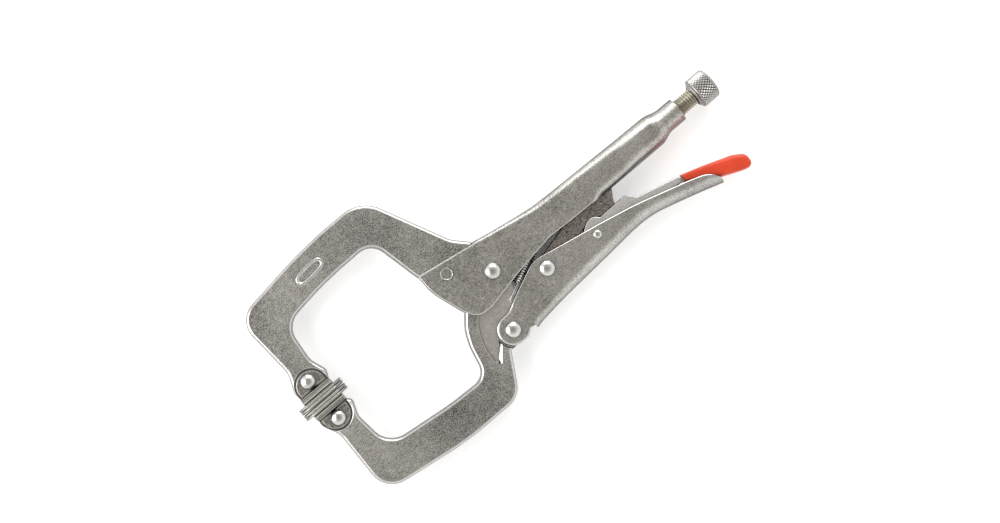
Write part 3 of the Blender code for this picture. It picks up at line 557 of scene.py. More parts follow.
class Nodes:
    """A small helper that adds linked nodes to one material, or to the world.

    where, facing and direction are the position, the normal and the sky direction.
    """

    def __init__(self, holder, shader="Principled BSDF"):
        holder.use_nodes = True
        self.holder = holder
        self.tree = holder.node_tree
        self.shader = self.tree.nodes[shader]
        place = self.tree.nodes.new("ShaderNodeTexCoord")
        self.where = place.outputs["Object"]
        self.facing = place.outputs["Normal"]
        self.direction = place.outputs["Generated"]

    def make(self, kind, output, inputs, **settings):
        """Add a node and feed each of its inputs a number or another node's output."""
        node = self.tree.nodes.new("ShaderNode" + kind)
        for name, value in settings.items():
            setattr(node, name, value)
        for socket, value in inputs.items():
            if isinstance(value, bpy.types.NodeSocket):
                self.tree.links.new(value, node.inputs[socket])
            else:
                node.inputs[socket].default_value = value
        return node.outputs[output]

    def noise(self, scale, detail=3.0, roughness=0.55, stretch=None):
        place = self.where
        if stretch:
            place = self.make(
                "Mapping", "Vector", {"Vector": place, "Scale": stretch[0], "Rotation": stretch[1]})
        return self.make("TexNoise", "Fac", {
            "Vector": place, "Scale": scale, "Detail": detail, "Roughness": roughness})

    def spots(self, scale):
        return self.make("TexVoronoi", "Distance", {"Vector": self.where, "Scale": scale})

    def spread(self, value, low, high, to_low, to_high):
        return self.make("MapRange", "Result", {
            "Value": value, "From Min": low, "From Max": high,
            "To Min": to_low, "To Max": to_high})

    def shades(self, value, stops):
        colour = self.make("ValToRGB", "Color", {"Fac": value})
        ramp = colour.node.color_ramp
        for element, stop in ((ramp.elements[0], stops[0]), (ramp.elements[1], stops[-1])):
            element.position = stop[0]
            element.color = (*stop[1], 1.0)
        for position, shade in stops[1:-1]:
            ramp.elements.new(position).color = (*shade, 1.0)
        return colour

    def paint_side_shade(self, colour, tone):
        """Painted shade: metal made darker on its sides than on the faces that point along Z."""
        along = self.make("SeparateXYZ", "Z", {"Vector": self.facing})
        along = self.make("Math", "Value", {0: along}, operation="ABSOLUTE")
        return self.make("VectorMath", "Vector", {
            "Vector": colour, "Scale": self.spread(along, SIDE_END, FACE_START, tone, 1.0),
        }, operation="SCALE")

    def add(self, first, second, share):
        """The first value plus a share of the second."""
        return self.make("Math", "Value", {0: second, 1: share, 2: first}, operation="MULTIPLY_ADD")

    def bump(self, height, distance, strength):
        self.feed("Normal", self.make("Bump", "Normal", {
            "Distance": distance * MM, "Strength": strength, "Height": height}))

    def feed(self, socket, value):
        self.tree.links.new(value, self.shader.inputs[socket])

    def fix(self, **values):
        """Set numbers and colours straight on the shader; a name's _ stands for a space."""
        for name, value in values.items():
            self.shader.inputs[name.replace("_", " ")].default_value = value


def material_nodes(name):
    return Nodes(bpy.data.materials.new(name))


def scaled(colour, factor):
    return tuple(min(channel * factor, 1.0) for channel in colour)


def plated(name, colour, roughness, mottle, grain, pits=0.0, side=PAINTED_SIDE_SHADE):
    """Plated steel: grainy tone, uneven gloss and a fine grit, all by position on the part, and
    shade painted on its sides by which way they face.
    """
    nodes = material_nodes(name)
    nodes.fix(Metallic=1.0)
    grit = nodes.noise(1500.0, 2.0, 0.7)
    patches = nodes.noise(420.0, 3.0, 0.6)
    cloud = nodes.noise(38.0, 2.0, 0.5)
    tone = nodes.add(nodes.add(grit, patches, 0.15), cloud, 0.35)
    violet = (colour[0] * 0.97, colour[1] * 0.945, colour[2] * 0.96)
    # Painted shade: the tone is darkened where the surface faces sideways.
    nodes.feed("Base Color", nodes.paint_side_shade(nodes.shades(tone, [
        (0.58, scaled(violet, 1.0 - 2.2 * mottle)),
        (0.74, scaled(violet, 1.0 - 0.3 * mottle)),
        (0.93, scaled(colour, 1.0 + 1.2 * mottle)),
    ]), side))
    nodes.feed("Roughness", nodes.spread(
        patches, 0.3, 0.7, roughness * 0.9, roughness * 1.12))
    fine = nodes.noise(2600.0, 2.0, 0.6)
    coarse = nodes.noise(900.0, 3.0, 0.6)
    height = nodes.add(coarse, fine, 0.45)
    if pits > 0.0:
        dots = nodes.spread(nodes.spots(900.0), 0.0, 0.28, 0.0, 1.0)
        height = nodes.add(height, dots, pits)
    nodes.bump(height, 0.12, grain)
    return nodes.holder


def brushed(name, colour, roughness, direction_scale, turn, strength):
    """Metal with fine lines along one direction, and small tone changes."""
    nodes = material_nodes(name)
    nodes.fix(Metallic=1.0)
    lines = nodes.noise(700.0, 3.0, 0.6, (direction_scale, (0.0, 0.0, turn)))
    cloud = nodes.noise(160.0, 3.0, 0.5)
    tone = nodes.add(lines, cloud, 0.5)
    nodes.feed("Base Color", nodes.shades(tone, [
        (0.5, scaled(colour, 0.86)), (0.95, scaled(colour, 1.1))]))
    nodes.feed("Roughness", nodes.spread(lines, 0.3, 0.7, roughness * 0.8, roughness * 1.3))
    nodes.bump(nodes.add(lines, nodes.noise(2400.0, 2.0), 0.3), 0.06, strength)
    return nodes.holder


def dipped_plastic(name, colour):
    nodes = material_nodes(name)
    cloud = nodes.noise(90.0, 3.0, 0.5)
    fine = nodes.noise(900.0, 3.0, 0.6)
    nodes.feed("Base Color", nodes.shades(nodes.add(cloud, fine, 0.3), [
        (0.45, scaled(colour, 0.86)), (0.85, scaled(colour, 1.08))]))
    nodes.feed("Roughness", nodes.spread(fine, 0.3, 0.7, 0.3, 0.46))
    nodes.fix(Subsurface_Weight=0.06, Subsurface_Radius=(0.004, 0.001, 0.0005))
    nodes.fix(Coat_Weight=0.1, Coat_Roughness=0.3)
    nodes.bump(nodes.add(cloud, fine, 0.25), 0.2, 0.25)
    return nodes.holder


forged_face = plated("forged_face", (0.56, 0.55, 0.525), 0.36, 0.36, 0.6, 0.35)
forged_rim = plated("forged_rim", (0.72, 0.715, 0.70), 0.24, 0.08, 0.25)
coined_face = plated("coined_face", (0.80, 0.79, 0.75), 0.32, 0.08, 0.2)
sheet_face = plated("sheet_face", (0.62, 0.61, 0.58), 0.33, 0.23, 0.45, 0.15)
sheet_rim = plated("sheet_rim", (0.74, 0.735, 0.72), 0.22, 0.06, 0.18)
pad_metal = plated("pad_metal", (0.72, 0.715, 0.655), 0.3, 0.12, 0.25, 0.1)
pad_ear = plated("pad_ear", (0.40, 0.385, 0.36), 0.38, 0.4, 0.6, 0.3)
rivet_metal = plated("rivet_metal", (0.78, 0.775, 0.755), 0.2, 0.06, 0.1)
dark_steel = plated("dark_steel", (0.29, 0.265, 0.245), 0.42, 0.45, 1.0, 0.6)
lever_zinc = plated("lever_zinc", (0.76, 0.755, 0.74), 0.42, 0.08, 0.25)
screw_zinc = plated("screw_zinc", (0.78, 0.765, 0.67), 0.26, 0.08, 0.12, side=0.8)
knob_zinc = plated("knob_zinc", (0.74, 0.735, 0.71), 0.32, 0.06, 0.08, side=0.34)
# Painted shade: a darker tone for the thread's roots, where shade falls.
thread_root_shade = plated("thread_root_shade", (0.40, 0.38, 0.29), 0.36, 0.1, 0.2, side=0.9)
# Painted shade: a darker tone for the knurl's grooves, where shade falls.
knurl_groove_shade = plated("knurl_groove_shade", (0.40, 0.395, 0.375), 0.4, 0.1, 0.2)
# Painted shade: a near-black tone for the foot's edge next to the gripping face, where the pads
# meet.
pad_edge_shade = plated("pad_edge_shade", (0.16, 0.155, 0.14), 0.5, 0.1, 0.3)
spring_wire = brushed("spring_wire", (0.95, 0.94, 0.92), 0.28, (1.0, 1.0, 0.4), 0.0, 0.3)
orange = dipped_plastic("orange_dip", (0.70, 0.058, 0.016))


# ---------------------------------------------------------------- sheet metal

def smooth_stations(stations, spacing):
    """Fill in stations between the given ones with curves that never overshoot."""
    count = len(stations)
    width = len(stations[0])
    slopes = []
    for column in range(width):
        steps = [
            (stations[i + 1][column] - stations[i][column])
            / (stations[i + 1][0] - stations[i][0]) for i in range(count - 1)]
        column_slopes = [steps[0]]
        for before, after in zip(steps, steps[1:]):
            if before * after <= 0.0:
                column_slopes.append(0.0)
            else:
                column_slopes.append(2.0 * before * after / (before + after))
        column_slopes.append(steps[-1])
        slopes.append(column_slopes)
    filled = []
    for i in range(count - 1):
        gap = stations[i + 1][0] - stations[i][0]
        pieces = max(1, math.ceil(gap / spacing))
        for piece in range(pieces):
            t = piece / pieces
            values = []
            for column in range(width):
                start, end = stations[i][column], stations[i + 1][column]
                leave, arrive = slopes[column][i] * gap, slopes[column][i + 1] * gap
                values.append(
                    start * (1 + 2 * t) * (1 - t) ** 2 + leave * t * (1 - t) ** 2
                    + end * t * t * (3 - 2 * t) + arrive * t * t * (t - 1))
            values[0] = stations[i][0] + gap * t
            filled.append(tuple(values))
    filled.append(stations[-1])
    return filled


def bend_section(top, bottom, half_width, top_radius, bottom_radius, curl, inset, steps=10):
    """Half of a folded sheet's section, from the top middle to its lower edge, as (y, z)."""
    upper = max(top_radius - inset, 0.15)
    lower = max(bottom_radius - inset, 0.15)
    curl = math.radians(max(curl, 0.5))
    points = [(top - inset, 0.0)]
    points += [(y, z) for z, y in arc(
        (half_width - top_radius, top - top_radius), upper, math.pi / 2.0, 0.0, steps)]
    drop = bottom_radius * math.sin(curl)
    points += [(y, z) for z, y in arc(
        (half_width - bottom_radius, bottom + drop), lower, 0.0, -curl, steps)]
    return points


def folded_channel(stations, section):
    """Loft a folded sheet through stations, each giving an outer and an inner half section."""
    bm = bmesh.new()
    loops = []
    for station in stations:
        outer, inner = section(station)
        mirrored_outer = [(y, -z) for y, z in reversed(outer[1:])]
        mirrored_inner = [(y, -z) for y, z in reversed(inner[1:])]
        ring = mirrored_outer + outer + list(reversed(mirrored_inner + inner))
        loops.append([bm.verts.new((station[0], y, z)) for y, z in ring])
    skin(bm, loops)
    count = len(loops[0])
    half = count // 2
    for ring in (loops[0], loops[-1]):
        for index in range(half - 1):
            bm.faces.new((
                ring[index], ring[index + 1],
                ring[count - 2 - index], ring[count - 1 - index]))
    return bm


def station_value(stations, x, column):
    """A station column's value at x, by straight lines between the stations."""
    for before, after in zip(stations, stations[1:]):
        if x <= after[0]:
            share = (max(x, before[0]) - before[0]) / (after[0] - before[0])
            return before[column] + (after[column] - before[column]) * share
    return stations[-1][column]


def upper_handle():
    def section(station):
        _, top, bottom, half_width, top_radius, bottom_radius, curl, wall = station
        shape = (top, bottom, half_width, top_radius, bottom_radius, curl)
        return bend_section(*shape, 0.0), bend_section(*shape, wall)

    stations = smooth_stations(UPPER_HANDLE_STATIONS, STATION_SPACING)
    handle = to_object(
        "upper_handle_shell", folded_channel(stations, section), (sheet_face, sheet_rim))
    keep_inside(handle, sheet_cutter(
        UPPER_HANDLE_PROFILE, lambda x: station_value(stations, x, 3),
        lambda x: SHEET_RIM_WIDTH))
    slot_half = UPPER_HALF - SHEET + 0.05
    cut(handle, prism(JAW_SLOT_OUTLINE, -slot_half, slot_half))
    drill(handle, MAIN_PIVOT, RIVET_SHANK + GAP)
    drill(handle, FIXED_JAW_PIN, FIXED_PIN_RADIUS + 0.12)
    join(handle, spring_tab())
    merge_flats(handle)
    finish_piece(handle, "root", ["upper_handle"])


def spring_tab():
    """A small lug inside the channel, hanging from the web, with a notch for the spring hook."""
    x, y = SPRING_ANCHOR
    outline = [
        (x - 0.5, 11.0), (x + 4.0, 11.0), (x + 4.0, y - 2.2), (x + 1.0, y - 2.2),
        (x + 1.0, y + 0.9), (x - 0.5, y + 0.9),
    ]
    return prism(outline, -1.0, 1.0)


def nose_rim(x):
    """The lower handle's rim is broad round the nose and fine along the rest."""
    share = min(max((-2.0 - x) / 6.0, 0.0), 1.0)
    return SHEET_RIM_WIDTH + (NOSE_RIM_WIDTH - SHEET_RIM_WIDTH) * share


def lower_handle():
    def section(station):
        _, back, half_width, radius = station
        shape = (-back, -LOWER_HANDLE_TOP_Y, half_width, radius, 1.0, 0)
        outer = bend_section(*shape, 0.0, 14)
        inner = bend_section(*shape, SHEET, 14)
        return [(-y, z) for y, z in outer], [(-y, z) for y, z in inner]

    stations = smooth_stations(LOWER_HANDLE_STATIONS, STATION_SPACING)
    handle = to_object(
        "lower_handle_shell", folded_channel(stations, section), (sheet_face, sheet_rim))
    keep_inside(handle, sheet_cutter(
        LOWER_HANDLE_PROFILE, lambda x: station_value(stations, x, 2), nose_rim,
        NOSE_RIM_HEIGHT))
    drill(handle, JAW_HANDLE_PIVOT, RIVET_SHANK + GAP)
    drill(handle, LINK_PIVOT, RIVET_SHANK + GAP)
    drill(handle, RELEASE_PIVOT, PIN_SHANK + GAP)
    merge_flats(handle)
    finish_piece(handle, "lower_handle", ["lower_handle"])


# ---------------------------------------------------------------- jaws

def sink_round(jaw, centre, radius, remaining):
    """Sink a round flat into both faces, with a soft inner corner and a rounded lip."""
    for side in (-1.0, 1.0):
        steps = [
            (remaining, radius - 0.7), (remaining + 0.15, radius - 0.3),
            (remaining + 0.6, radius - 0.05), (JAW_HALF - 0.55, radius),
            (JAW_HALF - 0.2, radius + 0.3), (JAW_HALF, radius + 0.85),
            (JAW_HALF + 2.0, radius + 6.0),
        ]
        profile = [(side * z, r) for z, r in steps]
        cutter = lathe(profile, 96, "Z", (*centre, 0.0))
        for face in cutter.faces:
            face.material_index = 1 if len(face.verts) == 4 else 0
        cut(jaw, cutter)


def sink_tang(jaw):
    """Sink the crescent beside the handle's nose, with a ramp along its straight side."""
    fillets = corner_arcs(TANG_RECESS_OUTLINE)
    far = JAW_HALF + 2.0
    lip = [(TANG_HALF, 0.25), (TANG_HALF + 0.25, 0.05), (JAW_HALF - 0.75, -0.15),
           (JAW_HALF - 0.2, -0.45), (JAW_HALF, -0.9), (far, -3.0)]
    ramp_foot = TANG_HALF + 0.8
    rise = (far - ramp_foot) / (JAW_HALF - ramp_foot)
    front, back = [Vector(place) for place in TANG_RAMP_OUTLINE[:2]]
    top_back, top_front = [Vector(place) for place in TANG_RAMP_OUTLINE[2:]]
    for side in (-1.0, 1.0):
        cut(jaw, stacked([(side * z, outline_at(fillets, inset)) for z, inset in lip], "Z", 2))
        cut(jaw, lathe([
            (side * TANG_HALF, NOSE_CLEARANCE - 0.5), (side * (TANG_HALF + 0.4), NOSE_CLEARANCE),
            (side * far, NOSE_CLEARANCE)], 72, "Z", (*JAW_HANDLE_PIVOT, 0.0)))
        ramp = []
        for z, share in ((ramp_foot, 0.05), (far, rise)):
            ramp.append((side * z, [
                tuple(front), tuple(back), tuple(back.lerp(top_back, share)),
                tuple(front.lerp(top_front, share))]))
        cut(jaw, stacked(ramp))


def oval(half_length, half_width, centre, tilt, steps=72):
    outline = []
    for x, y in circle((0.0, 0.0), 1.0, steps):
        along = half_length * math.copysign(abs(x) ** 0.7, x)
        across = half_width * math.copysign(abs(y) ** 0.7, y)
        outline.append((
            centre[0] + along * math.cos(tilt) - across * math.sin(tilt),
            centre[1] + along * math.sin(tilt) + across * math.cos(tilt)))
    return outline


def add_badge(jaw):
    """A plain oval with a raised, rounded rim round a slightly sunk field."""
    centre = (-72.9, 61.8)
    tilt = math.radians(5.0)

    def ring(margin, level):
        return (level, oval(9.0 - margin, 3.6 - margin, centre, tilt))

    join(jaw, stacked([
        ring(0.0, JAW_HALF - 1.0), ring(0.0, JAW_HALF), ring(0.2, JAW_HALF + 0.24),
        ring(0.5, JAW_HALF + 0.42), ring(0.8, JAW_HALF + 0.45)]))
    cut(jaw, stacked([
        ring(1.8, JAW_HALF), ring(1.55, JAW_HALF + 0.06), ring(1.15, JAW_HALF + 0.36),
        ring(0.75, JAW_HALF + 0.7)]))


def fixed_jaw():
    jaw = to_object(
        "fixed_jaw_forging", rounded_plate(FIXED_JAW_OUTLINE, JAW_HALF, *JAW_RIM, 7, JAW_FLASH),
        (forged_face, forged_rim, coined_face))
    sink_round(jaw, (PAD_X, UPPER_PAD_FACE_Y + EAR_CENTRE_HEIGHT), JAW_TIP_RECESS_RADIUS, TIP_HALF)
    drill(jaw, UPPER_PAD_RIVET_PLACE, PAD_RIVET_SHANK + GAP)
    drill(jaw, FIXED_JAW_PIN, FIXED_PIN_RADIUS + GAP)
    add_badge(jaw)
    merge_flats(jaw)
    finish_piece(jaw, "root", ["fixed_jaw"])


def moving_jaw():
    jaw = to_object(
        "moving_jaw_forging", rounded_plate(MOVING_JAW_OUTLINE, JAW_HALF, *JAW_RIM, 7, JAW_FLASH),
        (forged_face, forged_rim, coined_face))
    sink_tang(jaw)
    sink_round(jaw, (PAD_X, LOWER_PAD_FACE_Y - EAR_CENTRE_HEIGHT), JAW_TIP_RECESS_RADIUS, TIP_HALF)
    drill(jaw, MAIN_PIVOT, RIVET_SHANK + GAP)
    drill(jaw, JAW_HANDLE_PIVOT, RIVET_SHANK + GAP)
    drill(jaw, LOWER_PAD_RIVET_PLACE, PAD_RIVET_SHANK + GAP)
    drill(jaw, SPRING_HOOK, SPRING_HOLE_RADIUS)
    merge_flats(jaw)
    finish_piece(jaw, "moving_jaw", ["moving_jaw"])


# ---------------------------------------------------------------- linkage

def toggle_link():
    link = to_object(
        "toggle_link_bar", rounded_plate(LINK_OUTLINE, LINK_HALF, *LINK_RIM, 4),
        (dark_steel, dark_steel))
    drill(link, LINK_PIVOT, RIVET_SHANK + GAP)
    finish_piece(link, "toggle_link", ["toggle_link"])


def release_lever():
    """A folded lever: open towards the link in front, one flat tongue behind."""
    lever = to_object(
        "release_lever_pressing", rounded_plate(LEVER_OUTLINE, LEVER_HALF, *LEVER_RIM, 5),
        (lever_zinc, sheet_rim))
    inside = LEVER_HALF - LEVER_SHEET
    cut(lever, prism(LEVER_TROUGH_OUTLINE, -inside, inside))
    join(lever, rounded_plate(LEVER_TAIL_OUTLINE, LEVER_TAIL_HALF, *TAIL_RIM, 3))
    drill(lever, RELEASE_PIVOT, PIN_SHANK + GAP)
    merge_flats(lever)
    finish_piece(lever, "release_lever", ["release_lever"])


def release_lever_grip():
    outline = outline_at(corner_arcs(GRIP_OUTLINE), 0.0)
    levels = []
    for step in range(21):
        turn = math.pi * (step / 20.0 - 0.5)
        squeeze = max(math.cos(turn), 0.0) ** 0.4
        level = math.copysign(GRIP_HALF * abs(math.sin(turn)) ** 0.8, turn)
        places = []
        for place in outline:
            middle = nearest_on_line(place, GRIP_CENTRE_LINE)
            places.append(tuple(middle.lerp(Vector(place), 0.06 + 0.94 * squeeze)))
        levels.append((level, places))
    grip = to_object("release_lever_dip", stacked(levels), (orange, orange))
    cut(grip, prism(GRIP_TRIM_OUTLINE, -CUTTER_REACH, CUTTER_REACH))
    tail = LEVER_TAIL_HALF + GAP
    cut(grip, prism(GRIP_POCKET_OUTLINE, -tail, tail))
    merge_flats(grip)
    finish_piece(grip, "release_lever", ["release_lever_grip"])


def return_spring():
    """A tension spring as one swept wire: hook, coil, hook."""
    start = Vector((SPRING_HOOK[0], SPRING_HOOK[1], 0.0))
    end = Vector((SPRING_ANCHOR[0], SPRING_ANCHOR[1], 0.0))
    along = (end - start).normalized()
    side = Vector((-along.y, along.x, 0.0))
    up = Vector((0.0, 0.0, 1.0))
    coil_start = start + along * SPRING_JAW_REACH
    coil_end = end - along * SPRING_ANCHOR_REACH
    hook = up * SPRING_HOOK_HALF
    anchor_hook = up * SPRING_ANCHOR_HALF
    route = [start - hook - along * 0.6, start - hook * 0.9, start, start + hook * 0.9]
    route += [start + hook + along * 0.6, start + hook + along * SPRING_HOOK_RUN]
    per_turn = 16
    total = SPRING_TURNS * per_turn
    for step in range(total + 1):
        turn = 2.0 * math.pi * step / per_turn
        offset = up * math.cos(turn) + side * math.sin(turn)
        route.append(coil_start.lerp(coil_end, step / total) + offset * SPRING_COIL_RADIUS)
    route += [end - along * 2.0 + anchor_hook, end - along * 0.5 + anchor_hook,
              end + anchor_hook * 0.8, end, end - anchor_hook]
    curve = bpy.data.curves.new("return_spring_route", "CURVE")
    curve.dimensions = "3D"
    curve.bevel_depth = SPRING_WIRE_RADIUS * MM
    curve.bevel_resolution = 2
    curve.use_fill_caps = True
    spline = curve.splines.new("POLY")
    spline.points.add(len(route) - 1)
    for point, place in zip(spline.points, route):
        point.co = (*((place + SHIFT) * MM), 1.0)
    holder = bpy.data.objects.new("return_spring_route", curve)
    bpy.context.scene.collection.objects.link(holder)
    graph = bpy.context.evaluated_depsgraph_get()
    mesh = bpy.data.meshes.new_from_object(holder.evaluated_get(graph))
    bpy.data.objects.remove(holder, do_unlink=True)
    bm = bmesh.new()
    bm.from_mesh(mesh)
    bmesh.ops.remove_doubles(bm, verts=bm.verts, dist=1e-6)
    bm.to_mesh(mesh)
    bm.free()
    mesh.materials.clear()
    mesh.materials.append(spring_wire)
    spring = bpy.data.objects.new("return_spring_coil", mesh)
    bpy.context.scene.collection.objects.link(spring)
    finish_piece(spring, "root", ["return_spring"], 60.0)
    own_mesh(spring)


# ---------------------------------------------------------------- round parts

def rivet(name, centre, seat, shank, head, dome, body, node):
    """A domed rivet along Z whose heads sit on faces at z = +seat and -seat."""
    half = [(seat, shank), (seat, head - 0.12), (seat + 0.12, head)]
    base = 0.3
    steps = 12
    for step in range(1, steps + 1):
        angle = math.pi / 2.0 * step / steps
        half.append((seat + base + (dome - base) * math.sin(angle), head * math.cos(angle)))
    half[-1] = (seat + dome, 0.0)
    model = to_object(
        name, lathe(both_sides(half), ROUND_STEPS, "Z", (*centre, 0.0)), (rivet_metal,))
    finish_piece(model, body, [node])


BIG_RIVET = (RIVET_SHANK, RIVET_HEAD, RIVET_DOME)
SMALL_RIVET = (PIN_SHANK, PIN_HEAD, PIN_DOME)
PAD_RIVET = (PAD_RIVET_SHANK, PAD_RIVET_HEAD, RIVET_DOME)
UPPER_PAD_RIVET_PLACE = (PAD_X, UPPER_PAD_FACE_Y + PAD_RIVET_HEIGHT)
LOWER_PAD_RIVET_PLACE = (PAD_X, LOWER_PAD_FACE_Y - PAD_RIVET_HEIGHT)
# Piece, centre, where the heads sit, sizes, body and CAD node.
RIVETS = [
    ("main_pivot_dome", MAIN_PIVOT, UPPER_HALF + HEAD_LIFT, *BIG_RIVET,
     "root", "main_pivot_rivet"),
    ("jaw_handle_dome", JAW_HANDLE_PIVOT, LOWER_FRONT_HALF + HEAD_LIFT, *BIG_RIVET,
     "moving_jaw", "jaw_handle_rivet"),
    ("link_dome", LINK_PIVOT, LINK_RIVET_SEAT, *BIG_RIVET, "lower_handle", "link_rivet"),
    ("release_lever_dome", RELEASE_PIVOT, LOWER_HALF + HEAD_LIFT, *SMALL_RIVET,
     "lower_handle", "release_lever_pin"),
    ("upper_pad_dome", UPPER_PAD_RIVET_PLACE, EAR_OUTER + HEAD_LIFT, *PAD_RIVET,
     "root", "upper_pad_rivet"),
    ("lower_pad_dome", LOWER_PAD_RIVET_PLACE, EAR_OUTER + HEAD_LIFT, *PAD_RIVET,
     "moving_jaw", "lower_pad_rivet"),
]


def fixed_pin():
    """A flush cross pin with a broken edge and a slightly dished end."""
    end = UPPER_HALF
    radius = FIXED_PIN_RADIUS
    half = [(0.0, radius), (end - 0.45, radius), (end - 0.12, radius - 0.12),
            (end, radius - 0.4), (end - 0.03, radius - 0.65), (end - 0.25, radius - 0.9),
            (end - 0.25, 0.0)]
    profile = [(-z, r) for z, r in reversed(half[1:])] + half
    model = to_object(
        "fixed_jaw_cross_pin", lathe(profile, ROUND_STEPS, "Z", (*FIXED_JAW_PIN, 0.0)),
        (sheet_face,))
    finish_piece(model, "root", ["fixed_jaw_pin"])


def screw_pilot():
    end = SCREW_TIP_X + SCREW_PILOT_LENGTH
    profile = [
        (SCREW_TIP_X, 0.0), (SCREW_TIP_X, PILOT_TIP_RADIUS - 0.4),
        (SCREW_TIP_X + 0.15, PILOT_TIP_RADIUS),
        (SCREW_TIP_X + PILOT_TIP_RADIUS, SCREW_PILOT_RADIUS - 0.1),
        (SCREW_TIP_X + PILOT_TIP_RADIUS + 0.3, SCREW_PILOT_RADIUS),
        (end - GAP, SCREW_PILOT_RADIUS), (end - GAP, 0.0),
    ]
    pilot = to_object(
        "screw_pilot_tip", lathe(profile, 48, "X", (0.0, SCREW_AXIS_Y, 0.0)), (screw_zinc,))
    finish_piece(pilot, "screw_pilot", ["screw_pilot"])


def adjusting_screw():
    """A shaft whose thread is a true right-hand helix."""
    segments = 48
    per_pitch = 10
    step = THREAD_PITCH / per_pitch
    root = THREAD_RADIUS - THREAD_DEPTH
    start = THREAD_START_X
    end = KNOB_START_X + 1.4
    shape = (0.0, 0.0, 0.25, 0.55, 0.85, 1.0, 0.85, 0.55, 0.25, 0.0)
    samples = per_pitch + math.ceil((end - start) / step) + per_pitch
    front = [(SCREW_TIP_X + SCREW_PILOT_LENGTH, 0.0),
             (SCREW_TIP_X + SCREW_PILOT_LENGTH, root - 0.3),
             (SCREW_TIP_X + SCREW_PILOT_LENGTH + 0.3, root), (start, root)]
    back = [(end, root), (end, SPINDLE_RADIUS), (KNOB_END_X - 0.6, SPINDLE_RADIUS),
            (KNOB_END_X - 0.6, 0.0)]
    bm = bmesh.new()

    def column(turn):
        angle = 2.0 * math.pi * turn / segments
        lead = THREAD_PITCH * turn / segments
        places = []
        for index in range(samples):
            x = start - THREAD_PITCH + index * step + lead
            depth = shape[index % per_pitch]
            rise = min(max((x - start) / THREAD_PITCH, 0.0), 1.0)
            rise *= min(max((end - x) / THREAD_PITCH, 0.0), 1.0)
            radius = THREAD_RADIUS - THREAD_DEPTH + THREAD_DEPTH * depth * rise
            places.append((min(max(x, start), end), radius))
        made = []
        for x, radius in front + places + back:
            made.append(bm.verts.new((
                x, SCREW_AXIS_Y + radius * math.cos(angle), radius * math.sin(angle))))
        return made

    columns = [column(turn) for turn in range(segments)]
    first_thread = len(front)
    last_thread = first_thread + samples - 1
    for turn in range(segments):
        near = columns[turn]
        far = columns[(turn + 1) % segments]
        wraps = turn == segments - 1
        for index in range(len(near) - 1):
            a, b, c, d = near[index], near[index + 1], far[index + 1], far[index]
            if wraps and first_thread <= index < last_thread:
                if index + 1 + per_pitch > last_thread:
                    continue
                c, d = far[index + 1 + per_pitch], far[index + per_pitch]
            corners = []
            for vertex in (a, b, c, d):
                if all((vertex.co - kept.co).length > 1e-6 for kept in corners):
                    corners.append(vertex)
            if len(corners) > 2:
                face = bm.faces.new(corners)
                # Faces deep in the thread's roots get the painted root shade.
                reach = [math.hypot(v.co.y - SCREW_AXIS_Y, v.co.z) for v in (a, b)]
                deep = sum(reach) / 2.0 < THREAD_RADIUS - 0.6 * THREAD_DEPTH
                face.material_index = 1 if deep and first_thread <= index < last_thread else 0
    weld(bm)
    loose = [vertex for vertex in bm.verts if not vertex.link_faces]
    bmesh.ops.delete(bm, geom=loose, context="VERTS")
    screw = to_object("adjusting_screw_thread", bm, (screw_zinc, thread_root_shade))
    finish_piece(screw, "screw", ["adjusting_screw"])


